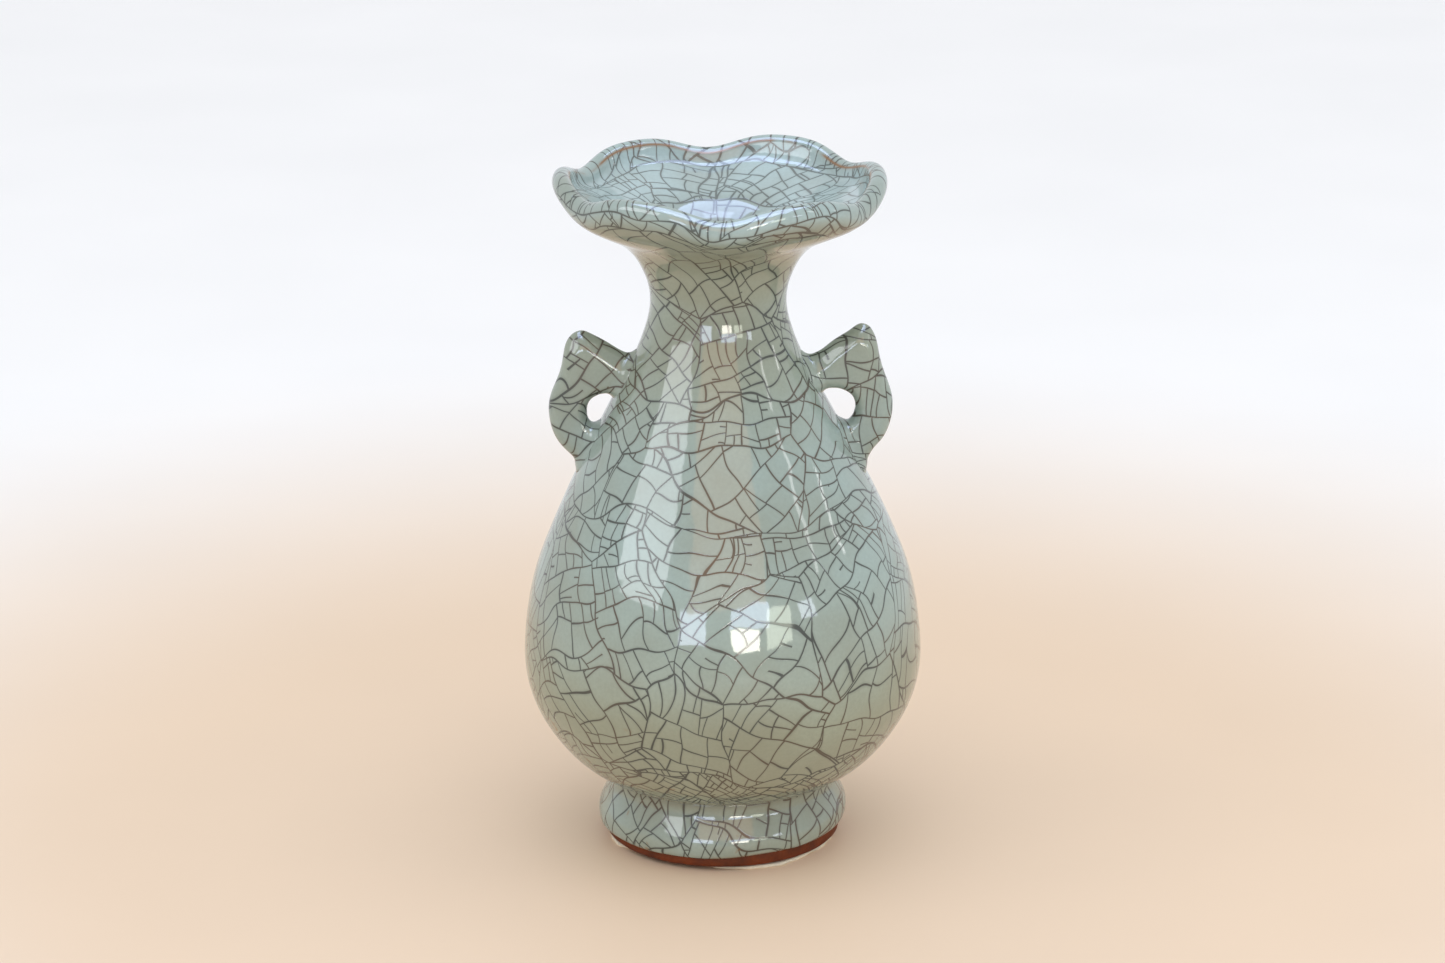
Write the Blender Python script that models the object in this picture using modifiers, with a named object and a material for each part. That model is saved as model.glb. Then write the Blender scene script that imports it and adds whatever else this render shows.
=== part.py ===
"""Bud vase with a six-lobed dish mouth, two pierced ear handles and a flared foot ring.

A stoneware pot, built the way a potter builds it: two thrown halves of the belly, the
mouth, the foot ring and the two handles are separate sections that are luted together,
and a thin pad lies under the foot. Lengths are in metres, +Z is up, and the origin is
the middle of the resting face. The front is towards -Y and the handles are on the X axis.
"""

import math

import bmesh
import bpy
import numpy as np

MM = 0.001
GAP = 0.3 * MM              # slip line between two luted sections
WALL = 4.5 * MM             # thickness of the thrown wall
STEPS = 56                  # segments round a turned section
WELD = 0.02 * MM            # distance under which two points are one

HEIGHT = 190.0 * MM         # resting face to the highest point of the lip
PAD_THICKNESS = 0.8 * MM
FOOT_BOTTOM = PAD_THICKNESS + GAP
FOOT_TOP = 19.2 * MM
BELLY_BOTTOM = FOOT_TOP + GAP
WAIST_SEAM = 56.0 * MM      # joint of the two halves, at the widest line of the belly
NECK_SEAM = 163.0 * MM      # joint of the neck and the mouth
TONGUE = 4.0 * MM           # overlap of the stepped joint in the wall

# Outer wall of the pot, as (height, radius) in millimetres, from the foot to under the mouth.
WALL_POINTS = (
    (19.5, 32.5), (22.0, 37.2), (26.0, 42.3), (32.0, 47.4), (40.0, 52.0), (48.0, 54.4),
    (55.0, 54.9), (65.0, 54.1), (76.0, 52.0), (88.0, 47.7), (100.0, 42.4), (112.0, 36.6),
    (124.0, 30.5), (136.0, 24.2), (146.0, 20.1), (154.0, 18.5), (160.0, 19.3), (166.0, 22.0),
    (170.0, 25.3),
)

# Belly bowl: inside floor as (height, radius), then the heights of the rows of its two faces.
FLOOR_POINTS = ((26.0, 0.0), (26.3, 22.0), (29.0, 34.0))
BELLY_INNER_ROWS = (32.0, 38.0, 45.0, 52.0)
BELLY_OUTER_ROWS = (50.0, 44.0, 38.0, 32.0, 28.0, 24.5, 22.0)

# Shoulder and neck: rows of the outer face, and height range and rows of the inner face.
SHOULDER_ROWS = 17
SHOULDER_INNER = (66.0, 158.0, 12)

# Foot ring as (height, radius): upright under the belly, flared, rounded over, then the bare edge.
FOOT_OUTER = (
    (19.2, 31.2), (17.0, 31.4), (14.6, 31.7), (12.4, 32.5), (10.2, 33.4), (8.0, 34.2), (6.2, 34.4),
    (4.9, 34.2), (3.9, 33.4), (3.4, 32.6), (1.9, 32.5), (1.1, 31.9),
)
FOOT_INNER = ((1.1, 25.5), (3.5, 24.5), (19.2, 24.0))

# Mouth: six lobes, with the lip dropping at each notch between them.
LOBES = 6
LOBE_TURN = math.radians(2.0)
LIP_RADIUS = 42.0 * MM      # middle of the rounded lip
LIP_HALF = 2.6 * MM         # half of the lip's thickness
LIP_DROP = 1.9 * MM         # half of the height between a lobe and a notch
NOTCH_DEPTH = 0.4 * MM      # half of the difference in radius
MOUTH_STEPS = 72
LIP_SAG = 1.7               # the lip's lower half is drawn down by this factor
LIP_ANGLES = (-55.0, -20.0, 20.0, 55.0, 90.0, 125.0, 160.0)

# Faces of the mouth as (height, radius, share of the lobes' wave): underside, then dish and throat.
MOUTH_UNDER = ((173.8, 30.5, 0.15), (177.0, 36.2, 0.5), (179.4, 40.4, 0.9))
MOUTH_DISH = (
    (183.0, 38.6, 0.8), (181.6, 36.6, 0.6), (179.0, 28.0, 0.2), (175.9, 20.0, 0.0), (172.2, 15.6, 0.0),
)

# Handles, drawn for the right side: x outwards from the axis, z up, in millimetres.
HANDLE_HALF = 3.2 * MM      # half of the thickness
HANDLE_ROUND = 1.1 * MM
LEFT_DROP = 0.8 * MM        # the left handle was luted on a little lower
RIGHT_RISE = 0.8 * MM
HANDLE_OUTLINE = (
    (20.0, 137.0), (27.0, 139.6), (33.0, 143.2), (38.4, 146.2), (41.4, 144.2), (43.0, 138.8),
    (45.3, 132.0), (47.1, 124.0), (45.7, 116.0), (41.6, 110.4), (37.0, 107.6), (31.0, 108.6),
    (28.0, 113.0), (28.0, 118.0), (34.6, 118.4), (37.2, 121.4), (37.0, 125.0), (34.2, 127.6),
    (29.0, 127.6), (24.0, 127.4), (20.0, 131.0),
)
SHARP_CORNERS = (13, 19)    # where the outline turns sharply, inside the pot's wall
OUTLINE_STEPS = 3           # steps from one point of the outline to the next
CUTTER_RANGE = (152.0, 95.0, 24)    # highest and lowest row of the wall that cuts the handles, and rows
CREASE = math.radians(40.0)

PAD_RADIUS = 31.0 * MM
PAD_WAVE = 0.5 * MM         # unevenness of the hand-cut edge
PAD_STEPS = 48


def clear_objects():
    for item in list(bpy.data.objects):
        bpy.data.objects.remove(item, do_unlink=True)


def new_collection(name):
    group = bpy.data.collections.new(name)
    bpy.context.scene.collection.children.link(group)
    return group


def material(name, colour, roughness, metallic=0.0):
    """Principled BSDF with a linear RGB colour."""
    made = bpy.data.materials.new(name)
    made.use_nodes = True
    shader = made.node_tree.nodes["Principled BSDF"]
    shader.inputs["Base Color"].default_value = (*colour, 1.0)
    shader.inputs["Roughness"].default_value = roughness
    shader.inputs["Metallic"].default_value = metallic
    made.diffuse_color = (*colour, 1.0)
    return made


def spline_slopes(x, y):
    """Slopes of a smooth curve through the points: the natural cubic spline's."""
    count = len(x)
    step = np.diff(x)
    matrix = np.zeros((count, count))
    right = np.zeros(count)
    rise = np.diff(y) / step
    matrix[0, :2] = (2.0, 1.0)
    matrix[-1, -2:] = (1.0, 2.0)
    right[0] = 3.0 * rise[0]
    right[-1] = 3.0 * rise[-1]
    for i in range(1, count - 1):
        matrix[i, i - 1] = step[i]
        matrix[i, i] = 2.0 * (step[i - 1] + step[i])
        matrix[i, i + 1] = step[i - 1]
        right[i] = 3.0 * (step[i] * rise[i - 1] + step[i - 1] * rise[i])
    return np.linalg.solve(matrix, right)


WALL_Z = np.array([p[0] for p in WALL_POINTS]) * MM
WALL_R = np.array([p[1] for p in WALL_POINTS]) * MM
WALL_SLOPE = spline_slopes(WALL_Z, WALL_R)


def outer_radius(z):
    """Radius of the pot's outer wall at a height, on a cubic spline through WALL_POINTS."""
    i = int(np.clip(np.searchsorted(WALL_Z, z) - 1, 0, len(WALL_Z) - 2))
    span = WALL_Z[i + 1] - WALL_Z[i]
    t = (z - WALL_Z[i]) / span
    start = (1 + 2 * t) * (1 - t) ** 2 * WALL_R[i] + t * (1 - t) ** 2 * span * WALL_SLOPE[i]
    end = t * t * (3 - 2 * t) * WALL_R[i + 1] + t * t * (t - 1) * span * WALL_SLOPE[i + 1]
    return float(start + end)


def outer_slope(z):
    """Change of the outer radius with height, between two points a short reach apart."""
    reach = 0.2 * MM
    low = max(z - reach, WALL_Z[0])
    high = min(z + reach, WALL_Z[-1])
    return (outer_radius(high) - outer_radius(low)) / (high - low)


def wall_point(z, depth):
    """Point (radius, height) at a depth into the wall, square to the outer face at height z."""
    slope = outer_slope(z)
    length = math.hypot(1.0, slope)
    return outer_radius(z) - depth / length, z + depth * slope / length


def in_metres(points):
    """Points given as (height, radius) in millimetres, as (radius, height) in metres."""
    return [(r * MM, z * MM) for z, r in points]


def turned(name, profile, group, look, closed):
    """Turn a profile of (radius, height) points about Z. It runs down its outer side."""
    mesh = bpy.data.meshes.new(name)
    points = [(r, 0.0, z) for r, z in profile]
    edges = [(i, i + 1) for i in range(len(points) - 1)]
    if closed:
        edges.append((len(points) - 1, 0))
    mesh.from_pydata(points, edges, [])
    item = bpy.data.objects.new(name, mesh)
    group.objects.link(item)
    screw = item.modifiers.new("turn", "SCREW")
    screw.steps = STEPS
    screw.render_steps = STEPS
    screw.use_merge_vertices = True
    screw.merge_threshold = WELD
    screw.use_smooth_shade = True
    mesh.materials.append(look)
    return item


def belly_bowl(group, look):
    """Lower half: floor in the middle, wall up to the widest line, tongue on the wall's inner half."""
    step = WALL / 2.0
    top = WAIST_SEAM - GAP / 2.0
    profile = in_metres(FLOOR_POINTS)
    profile += [wall_point(z * MM, WALL) for z in BELLY_INNER_ROWS]
    inner = outer_radius(WAIST_SEAM) - WALL
    profile += [(inner, top + TONGUE), (inner + step - GAP / 2.0, top + TONGUE)]
    profile += [(inner + step - GAP / 2.0, top), (outer_radius(top), top)]
    profile += [(outer_radius(z * MM), z * MM) for z in BELLY_OUTER_ROWS]
    profile += [(outer_radius(BELLY_BOTTOM), BELLY_BOTTOM), (0.0, BELLY_BOTTOM)]
    return turned("belly_bowl", profile, group, look, closed=False)


def shoulder_neck(group, look):
    """Upper half and neck: a ring section, rebated at the bottom, with a tongue at the top."""
    step = WALL / 2.0
    top = NECK_SEAM - GAP / 2.0
    bottom = WAIST_SEAM + GAP / 2.0
    shoulder = WAIST_SEAM - GAP / 2.0 + TONGUE + GAP
    outer = [(outer_radius(z), z) for z in np.linspace(top, bottom, SHOULDER_ROWS)]
    rebate = outer_radius(WAIST_SEAM) - WALL + step + GAP / 2.0
    inner_edge = outer_radius(WAIST_SEAM) - WALL
    inner = [(rebate, bottom), (rebate, shoulder), (inner_edge, shoulder)]
    low, high, rows = SHOULDER_INNER
    inner += [wall_point(z, WALL) for z in np.linspace(low * MM, high * MM, rows)]
    throat = outer_radius(NECK_SEAM) - WALL
    spigot = top + TONGUE
    joint = [(throat, top), (throat, spigot), (throat + step - GAP / 2.0, spigot)]
    joint.append((throat + step - GAP / 2.0, top))
    return turned("shoulder_neck", outer + inner + joint, group, look, closed=True)


def mouth_profile():
    """Closed section of the mouth as (radius, height, share), from the outer joint round the lip.

    The share says how much of the lobes' wave a point takes: none at the neck, all at the lip.
    """
    bottom = NECK_SEAM + GAP / 2.0
    top = NECK_SEAM - GAP / 2.0 + TONGUE + GAP
    throat = outer_radius(NECK_SEAM) - WALL
    rebate = throat + WALL / 2.0 + GAP / 2.0
    section = [(outer_radius(z), z, 0.0) for z in (bottom, 166.5 * MM, 170.0 * MM)]
    section += [(r * MM, z * MM, share) for z, r, share in MOUTH_UNDER]
    lip_z = HEIGHT - LIP_DROP - LIP_HALF
    for degrees in LIP_ANGLES:
        turn = math.radians(degrees)
        rise = LIP_HALF * math.sin(turn)
        if degrees < 0.0:
            rise *= LIP_SAG
        section.append((LIP_RADIUS + LIP_HALF * math.cos(turn), lip_z + rise, 1.0))
    section += [(r * MM, z * MM, share) for z, r, share in MOUTH_DISH]
    section += [(throat, top, 0.0), (rebate, top, 0.0), (rebate, bottom, 0.0)]
    return section


def flower_mouth(group, look):
    """Loft from the round neck to the lobed lip: each section point moves with the lobes' wave."""
    section = np.array(mouth_profile())
    angle = np.arange(MOUTH_STEPS) * 2.0 * math.pi / MOUTH_STEPS
    wave = np.cos(LOBES * (angle - LOBE_TURN))
    radius = section[:, 0] + NOTCH_DEPTH * np.outer(wave, section[:, 2])
    height = section[:, 1] + LIP_DROP * np.outer(wave, section[:, 2])
    x = radius * np.cos(angle)[:, None]
    y = radius * np.sin(angle)[:, None]
    points = np.stack([x, y, height], axis=-1).reshape(-1, 3)
    across = len(section)
    faces = []
    for i in range(MOUTH_STEPS):
        here = i * across
        there = ((i + 1) % MOUTH_STEPS) * across
        for j in range(across):
            k = (j + 1) % across
            faces.append((here + j, there + j, there + k, here + k))
    mesh = bpy.data.meshes.new("flower_mouth")
    mesh.from_pydata([tuple(p) for p in points], [], faces)
    mesh.shade_smooth()
    mesh.materials.append(look)
    item = bpy.data.objects.new("flower_mouth", mesh)
    group.objects.link(item)
    return item


def foot_ring(group, look):
    """Turned ring: upright at the top, then flared to the band, with a recess inside."""
    return turned("foot_ring", in_metres(FOOT_OUTER + FOOT_INNER), group, look, closed=True)


def smooth_outline(points, corners, per_span):
    """Catmull-Rom curve through a closed ring of points. Numbered corners stay sharp."""
    ring = np.array(points)
    count = len(ring)
    tangent = (np.roll(ring, -1, axis=0) - np.roll(ring, 1, axis=0)) / 2.0
    for corner in corners:
        tangent[corner] = 0.0
    made = []
    for i in range(count):
        start = ring[i]
        end = ring[(i + 1) % count]
        for t in np.arange(per_span) / per_span:
            a = (1 + 2 * t) * (1 - t) ** 2 * start + t * (1 - t) ** 2 * tangent[i]
            b = t * t * (3 - 2 * t) * end + t * t * (t - 1) * tangent[(i + 1) % count]
            made.append(a + b)
    return made


def wall_cutter(group):
    """Solid of the pot's outer wall, one slip line larger, that fits a handle to the wall."""
    high, low, rows = CUTTER_RANGE
    profile = [(0.0, high * MM)]
    profile += [wall_point(z, -GAP) for z in np.linspace(high * MM, low * MM, rows)]
    profile.append((0.0, profile[-1][1]))
    cutter = turned("wall_cutter", profile, group, material("cutter", (0.5, 0.5, 0.5), 0.5), closed=False)
    cutter.hide_render = True
    cutter.display_type = "WIRE"
    return cutter


def handle(name, side, lift, group, look, cutter):
    """Flat outline with rounded edges, cut to the wall. side is +1 on the right, -1 on the left."""
    curve = bpy.data.curves.new(name, "CURVE")
    curve.dimensions = "2D"
    curve.fill_mode = "BOTH"
    curve.extrude = HANDLE_HALF - HANDLE_ROUND
    curve.bevel_depth = HANDLE_ROUND
    curve.bevel_resolution = 1
    curve.offset = -HANDLE_ROUND
    outline = smooth_outline(HANDLE_OUTLINE, SHARP_CORNERS, OUTLINE_STEPS)
    line = curve.splines.new("POLY")
    line.points.add(len(outline) - 1)
    for point, (x, z) in zip(line.points, outline):
        point.co = (side * x * MM, z * MM, 0.0, 1.0)
    line.use_cyclic_u = True
    drawn = bpy.data.objects.new(name + "_outline", curve)
    group.objects.link(drawn)
    drawn.rotation_euler = (math.pi / 2.0, 0.0, 0.0)
    drawn.location = (0.0, 0.0, lift)
    bpy.context.view_layer.update()
    evaluated = drawn.evaluated_get(bpy.context.evaluated_depsgraph_get())
    mesh = bpy.data.meshes.new_from_object(evaluated)
    mesh.name = name
    place = drawn.matrix_world.copy()
    bpy.data.objects.remove(drawn)
    weld(mesh)
    mesh.materials.clear()
    mesh.materials.append(look)
    item = bpy.data.objects.new(name, mesh)
    group.objects.link(item)
    item.matrix_world = place
    cut = item.modifiers.new("fit_to_wall", "BOOLEAN")
    cut.operation = "DIFFERENCE"
    cut.solver = "EXACT"
    cut.object = cutter
    return item


def weld(mesh):
    """Join a curve mesh's loose caps to its sides, and face it outwards."""
    work = bmesh.new()
    work.from_mesh(mesh)
    bmesh.ops.remove_doubles(work, verts=work.verts, dist=WELD)
    bmesh.ops.recalc_face_normals(work, faces=work.faces)
    work.to_mesh(mesh)
    work.free()
    mesh.shade_smooth()
    mesh.set_sharp_from_angle(angle=CREASE)


def base_pad(group, look):
    """Thin disc with a slightly uneven, hand-cut edge."""
    curve = bpy.data.curves.new("base_pad", "CURVE")
    curve.dimensions = "2D"
    curve.fill_mode = "BOTH"
    curve.extrude = PAD_THICKNESS / 2.0
    line = curve.splines.new("POLY")
    line.points.add(PAD_STEPS - 1)
    for i, point in enumerate(line.points):
        turn = 2.0 * math.pi * i / PAD_STEPS
        radius = PAD_RADIUS + PAD_WAVE * (0.6 * math.sin(3.0 * turn + 0.7) + 0.4 * math.sin(7.0 * turn))
        point.co = (radius * math.cos(turn), radius * math.sin(turn), 0.0, 1.0)
    line.use_cyclic_u = True
    curve.materials.append(look)
    item = bpy.data.objects.new("base_pad", curve)
    item.location = (0.0, 0.0, PAD_THICKNESS / 2.0)
    group.objects.link(item)
    return item


def main():
    clear_objects()
    parts = new_collection("bud_vase")
    cutters = new_collection("cutters")
    glaze = material("celadon glaze", (0.38, 0.47, 0.42), 0.12)
    bare = material("iron stoneware", (0.20, 0.045, 0.018), 0.7)
    felt = material("cream pad", (0.80, 0.71, 0.54), 0.9)
    belly_bowl(parts, glaze)
    shoulder_neck(parts, glaze)
    flower_mouth(parts, glaze)
    foot_ring(parts, bare)
    cutter = wall_cutter(cutters)
    handle("handle_left", -1.0, -LEFT_DROP, parts, glaze, cutter)
    handle("handle_right", 1.0, RIGHT_RISE, parts, glaze, cutter)
    base_pad(parts, felt)


main()
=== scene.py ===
"""Celadon bud vase with a six-lobed dish mouth, two pierced ear handles and a bare clay foot.

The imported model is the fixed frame. Each visible piece is a surface worked out with numpy in
the frame's metres, +Z up, front towards -Y, and rides on the one body, "root". The outer skin
of the pot is one surface of revolution, bent by the lobes of the mouth, and is sliced at the
seams between the thrown sections so that every piece stands for one CAD node.
"""

import math

import bpy
import numpy as np
from bpy.props import FloatProperty, FloatVectorProperty, IntProperty, PointerProperty
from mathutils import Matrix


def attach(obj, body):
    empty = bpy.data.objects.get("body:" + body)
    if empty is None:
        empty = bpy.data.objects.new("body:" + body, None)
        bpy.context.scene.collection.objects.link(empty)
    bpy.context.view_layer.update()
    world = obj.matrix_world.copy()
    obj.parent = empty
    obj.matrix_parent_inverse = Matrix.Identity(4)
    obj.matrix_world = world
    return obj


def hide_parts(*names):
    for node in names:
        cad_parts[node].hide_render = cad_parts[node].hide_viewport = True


bl_info = {
    "name": "Celadon Bud Vase",
    "version": (1, 0, 0),
    "blender": (4, 5, 0),
    "location": "3D View > Sidebar > Vase",
    "description": "Builds a crackle-glazed bud vase, piece by piece, with its floor and lights",
    "category": "Add Mesh",
}

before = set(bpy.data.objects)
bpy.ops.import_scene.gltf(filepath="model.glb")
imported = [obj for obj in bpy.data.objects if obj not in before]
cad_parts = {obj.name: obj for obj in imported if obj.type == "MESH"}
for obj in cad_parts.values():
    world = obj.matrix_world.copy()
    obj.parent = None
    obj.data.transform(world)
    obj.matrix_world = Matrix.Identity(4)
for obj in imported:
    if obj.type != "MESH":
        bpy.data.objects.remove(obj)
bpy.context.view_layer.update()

MM = 0.001
BODY = "root"


def linear(hex_colour):
    """sRGB hex, such as "#A9B8AC", as linear RGB."""
    parts = [int(hex_colour[i:i + 2], 16) / 255.0 for i in (1, 3, 5)]
    return tuple(c / 12.92 if c <= 0.04045 else ((c + 0.055) / 1.055) ** 2.4 for c in parts)


# --------------------------------------------------------------------------- sizes and colours

def length(name, description, default, low=0.0, high=1.0):
    """A property in metres."""
    return FloatProperty(name=name, description=description, default=default, min=low, max=high,
                         subtype="DISTANCE", unit="LENGTH", precision=5)


def colour(name, description, default):
    """A colour property, with its default as sRGB hex."""
    return FloatVectorProperty(name=name, description=description, default=linear(default),
                               subtype="COLOR", size=3, min=0.0, max=1.0)


class VaseSizes(bpy.types.PropertyGroup):
    lobes: IntProperty(name="Lobes", description="Lobes round the mouth", default=6, min=3, max=12)
    lobe_turn: FloatProperty(name="Lobe turn", description="How far the lobes are turned from the X axis",
                             default=math.radians(2.6), subtype="ANGLE", unit="ROTATION")
    lip_rise: length("Lip rise", "Half of the height between a lobe and a notch", 1.86 * MM)
    lip_pinch: length("Lip pinch", "How much sharper the notches are than the lobes", 0.31 * MM)
    lip_swell: length("Lip swell", "Half of the difference in radius between a lobe and a notch", 0.42 * MM)
    lean: length("Lean", "How far the neck leans to the left of the foot", 1.2 * MM)
    wobble: length("Wobble", "Unevenness left by hand throwing", 0.14 * MM)
    glaze_edge: length("Glaze edge", "Height of the glaze's lower edge over the resting face", 4.3 * MM)
    glaze_tilt: length("Glaze tilt", "How much higher that edge is on the right than in the middle", 0.8 * MM)
    root_fillet: length("Root fillet", "Radius of the glaze between an ear and the wall", 2.8 * MM)
    trunk: length("Ear thickness", "Half of an ear handle's thickness", 3.5 * MM)
    pad: length("Pad radius", "Mean radius of the paper pad under the foot", 31.2 * MM)
    pad_thickness: length("Pad thickness", "Thickness of the paper pad", 0.9 * MM)
    cell: length("Crackle", "Width of a cell of the crackle before it is cut again", 12.4 * MM)
    crack: length("Crack width", "Width of a stained crack", 0.31 * MM)
    columns: IntProperty(name="Columns", description="Faces round the pot", default=288, min=48, max=480)


class VaseColours(bpy.types.PropertyGroup):
    # The glaze's own colour; low on the belly, where no cool glaze is mixed in, it is also a painted
    # reflection of a warm floor.
    glaze: colour("Glaze", "Celadon glaze where it is of usual thickness", "#979D89")
    # Thick glaze in clouds; the same colour is also painted shade under the lip and in the groove over the
    # foot.
    glaze_thick_and_shade: colour("Thick glaze", "Glaze pooled in the grooves and under the lip", "#87866F")
    glaze_cool: colour("Cool glaze", "Bluer glaze near the rim", "#9EB0AA")
    glaze_rim: colour("Rim glaze", "Thinner, bluer glaze on the lip and in the dish", "#B3C6C6")
    crack_dark: colour("Crack", "Ink-stained crack", "#3B3D37")
    crack_red: colour("Rust crack", "Iron-stained crack", "#4F4133")
    worn: colour("Worn edge", "Thin glaze at an edge, with the clay showing through", "#8A5C28")
    clay: colour("Clay", "Bare iron-rich stoneware", "#743410")
    clay_dark: colour("Dark clay", "Scorched stoneware", "#50260F")
    pad: colour("Pad", "Pulp-board pad", "#E9DEC4")
    floor: colour("Floor", "Pale floor near the vase", "#EACFB0")
    floor_far: colour("Far floor", "Pale floor away from the vase", "#FCFAF7")
    sky: colour("Surroundings", "Pale surroundings", "#F1F4FA")


class StageSizes(bpy.types.PropertyGroup):
    lens: FloatProperty(name="Lens", description="Focal length on a 36 mm wide sensor, in millimetres",
                        default=110.0, min=20.0, max=300.0)
    back: length("Camera distance", "Level distance of the camera in front of the vase", 1.155, high=5.0)
    height: length("Camera height", "Height of the camera over the floor", 0.472, high=5.0)
    dip: FloatProperty(name="Camera dip", description="How far the camera looks down",
                       default=math.radians(17.75), subtype="ANGLE", unit="ROTATION")
    floor: length("Floor radius", "Radius of the floor", 1.6, high=10.0)
    soft: FloatProperty(name="Soft light", description="Radiance of the broad light over the front",
                        default=0.7, min=0.0)
    gloss: FloatProperty(name="Gloss", description="Share of the reflected cards' radiance", default=1.0,
                         min=0.0)
    surroundings: FloatProperty(name="Surroundings", description="Strength of the pale surroundings",
                                default=1.02, min=0.0)


# --------------------------------------------------------------------------- curves and grids

def smooth_through(knots, per_span):
    """Natural cubic spline through the knots, by chord length, with per_span[i] steps in span i.

    Each span is the cubic Hermite curve between its two knots, with the slopes that make the
    second derivative continuous. The knots themselves are kept as rows of the result.
    """
    knots = np.asarray(knots, float)
    chord = np.concatenate([[0.0], np.cumsum(np.linalg.norm(np.diff(knots[:, :2], axis=0), axis=1))])
    step = np.diff(chord)
    rise = np.diff(knots, axis=0) / step[:, None]
    count = len(knots)
    matrix = np.diag(np.full(count, 2.0))
    inner = np.arange(1, count - 1)
    matrix[inner, inner] = 2.0 * (step[:-1] + step[1:])
    matrix[inner, inner - 1] = step[1:]
    matrix[inner, inner + 1] = step[:-1]
    matrix[0, 1] = matrix[-1, -2] = 1.0
    right = np.zeros_like(knots)
    right[0], right[-1] = 3.0 * rise[0], 3.0 * rise[-1]
    right[1:-1] = 3.0 * (step[1:, None] * rise[:-1] + step[:-1, None] * rise[1:])
    slope = np.linalg.solve(matrix, right)
    span = np.repeat(np.arange(count - 1), per_span)
    start = np.cumsum(per_span) - per_span
    t = ((np.arange(len(span)) - start[span]) / np.asarray(per_span)[span])[:, None]
    wide = step[span][:, None]
    made = ((1 + 2 * t) * (1 - t) ** 2 * knots[span] + t * (1 - t) ** 2 * wide * slope[span]
            + t * t * (3 - 2 * t) * knots[span + 1] + t * t * (t - 1) * wide * slope[span + 1])
    return np.vstack([made, knots[-1]])


def spans(knots, step):
    """Number of steps in each span so that rows are about one step apart."""
    gaps = np.linalg.norm(np.diff(np.asarray(knots, float)[:, :2], axis=0), axis=1)
    return np.maximum(1, np.round(gaps / np.broadcast_to(step, gaps.shape))).astype(int)


def soft_step(low, high, x):
    """0 below low, 1 above high, and the cubic 3t^2 - 2t^3 between them."""
    t = np.clip((x - low) / (high - low), 0.0, 1.0)
    return t * t * (3.0 - 2.0 * t)


def unit(vectors):
    """The vectors over their lengths."""
    return vectors / np.maximum(np.linalg.norm(vectors, axis=-1, keepdims=True), 1e-12)


def grid_normals(points, around=True):
    """Normal at each point of a grid: the cross product of its two central differences."""
    down = np.gradient(points, axis=0)
    if around:
        across = np.roll(points, -1, axis=1) - np.roll(points, 1, axis=1)
    else:
        across = np.gradient(points, axis=1)
    return unit(np.cross(across, down))


def closed_mesh(name, points, bands, look, facets=None, start=None, end=None, extra=None):
    """Mesh of a grid of rows that each run round the Z axis, or round a section.

    points is (rows, columns, 3). bands is (rows, columns, 3) normals, or None for flat faces.
    facets marks the bands between rows whose faces are flat, such as a seam. start and end are
    pole points that close the first and last rows. The last row joins the first if there is
    no pole. extra holds attributes: a name to (kind, domain, values).
    """
    rows, columns = points.shape[:2]
    joined = start is None
    vertices = points.reshape(-1, 3)
    i = np.arange(rows if joined else rows - 1)[:, None]
    j = np.arange(columns)[None, :]
    k = (j + 1) % columns
    n = (i + 1) % rows
    quads = np.stack([i * columns + j, i * columns + k, n * columns + k, n * columns + j], axis=-1)
    faces = [quads.reshape(-1, 4)]
    if not joined:
        vertices = np.vstack([vertices, start, end])
        pole = rows * columns
        j = j[0]
        k = k[0]
        last = (rows - 1) * columns
        faces.append(np.stack([k, j, np.full(columns, pole)], axis=-1))
        faces.append(np.stack([last + j, last + k, np.full(columns, pole + 1)], axis=-1))
    mesh = bpy.data.meshes.new(name)
    mesh.from_pydata(vertices.tolist(), [], [f for group in faces for f in group.tolist()])
    mesh.polygons.foreach_set("use_smooth", np.ones(len(mesh.polygons), bool))
    corners = np.empty(len(mesh.loops), np.int32)
    mesh.loops.foreach_get("vertex_index", corners)
    if bands is not None:
        normals = unit(bands.reshape(-1, 3))
        if not joined:
            normals = np.vstack([normals, [0.0, 0.0, -1.0], [0.0, 0.0, 1.0]])
        loops = normals[corners]
        flat_faces = np.zeros(len(mesh.polygons), bool)
        if facets is not None:
            flat_faces[:quads.shape[0] * columns] = np.repeat(facets, columns)
        if not joined:
            flat_faces[quads.shape[0] * columns:quads.shape[0] * columns + columns] = True
        face_normals = np.empty(len(mesh.polygons) * 3)
        mesh.polygons.foreach_get("normal", face_normals)
        sizes = np.empty(len(mesh.polygons), np.int32)
        mesh.polygons.foreach_get("loop_total", sizes)
        of_face = np.repeat(np.arange(len(mesh.polygons)), sizes)
        flat = flat_faces[of_face]
        loops[flat] = face_normals.reshape(-1, 3)[of_face[flat]]
        mesh.normals_split_custom_set(loops.tolist())
    for key, (kind, domain, values) in (extra or {}).items():
        made = mesh.attributes.new(key, kind, domain)
        field = "vector" if kind == "FLOAT_VECTOR" else "value"
        values = np.asarray(values, np.float32)
        if domain == "CORNER":
            values = values[corners] if len(values) == len(mesh.vertices) else values
        made.data.foreach_set(field, values.ravel())
    mesh.materials.append(look)
    mesh.update()
    item = bpy.data.objects.new(name, mesh)
    bpy.context.scene.collection.objects.link(item)
    return item


def place(item, cad_node):
    """The piece stands for a CAD node, whose part is hidden, and rides on the body."""
    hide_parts(cad_node)
    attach(item, BODY)


# --------------------------------------------------------------------------- the pot's skin

# Seams and corners of the skin as (radius, height) in millimetres.
WAIST_OUT = (54.87, 56.0)   # joint of the two halves of the belly
WAIST_IN = (50.4, 56.0)
NECK_OUT = (20.47, 163.0)   # joint of the neck and the mouth
NECK_IN = (15.0, 163.0)
MOUTH_ROOT = (24.3, 169.0)  # where the mouth's underside starts
THROAT = (22.5, 177.4)      # where the dish turns down into the neck

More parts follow.
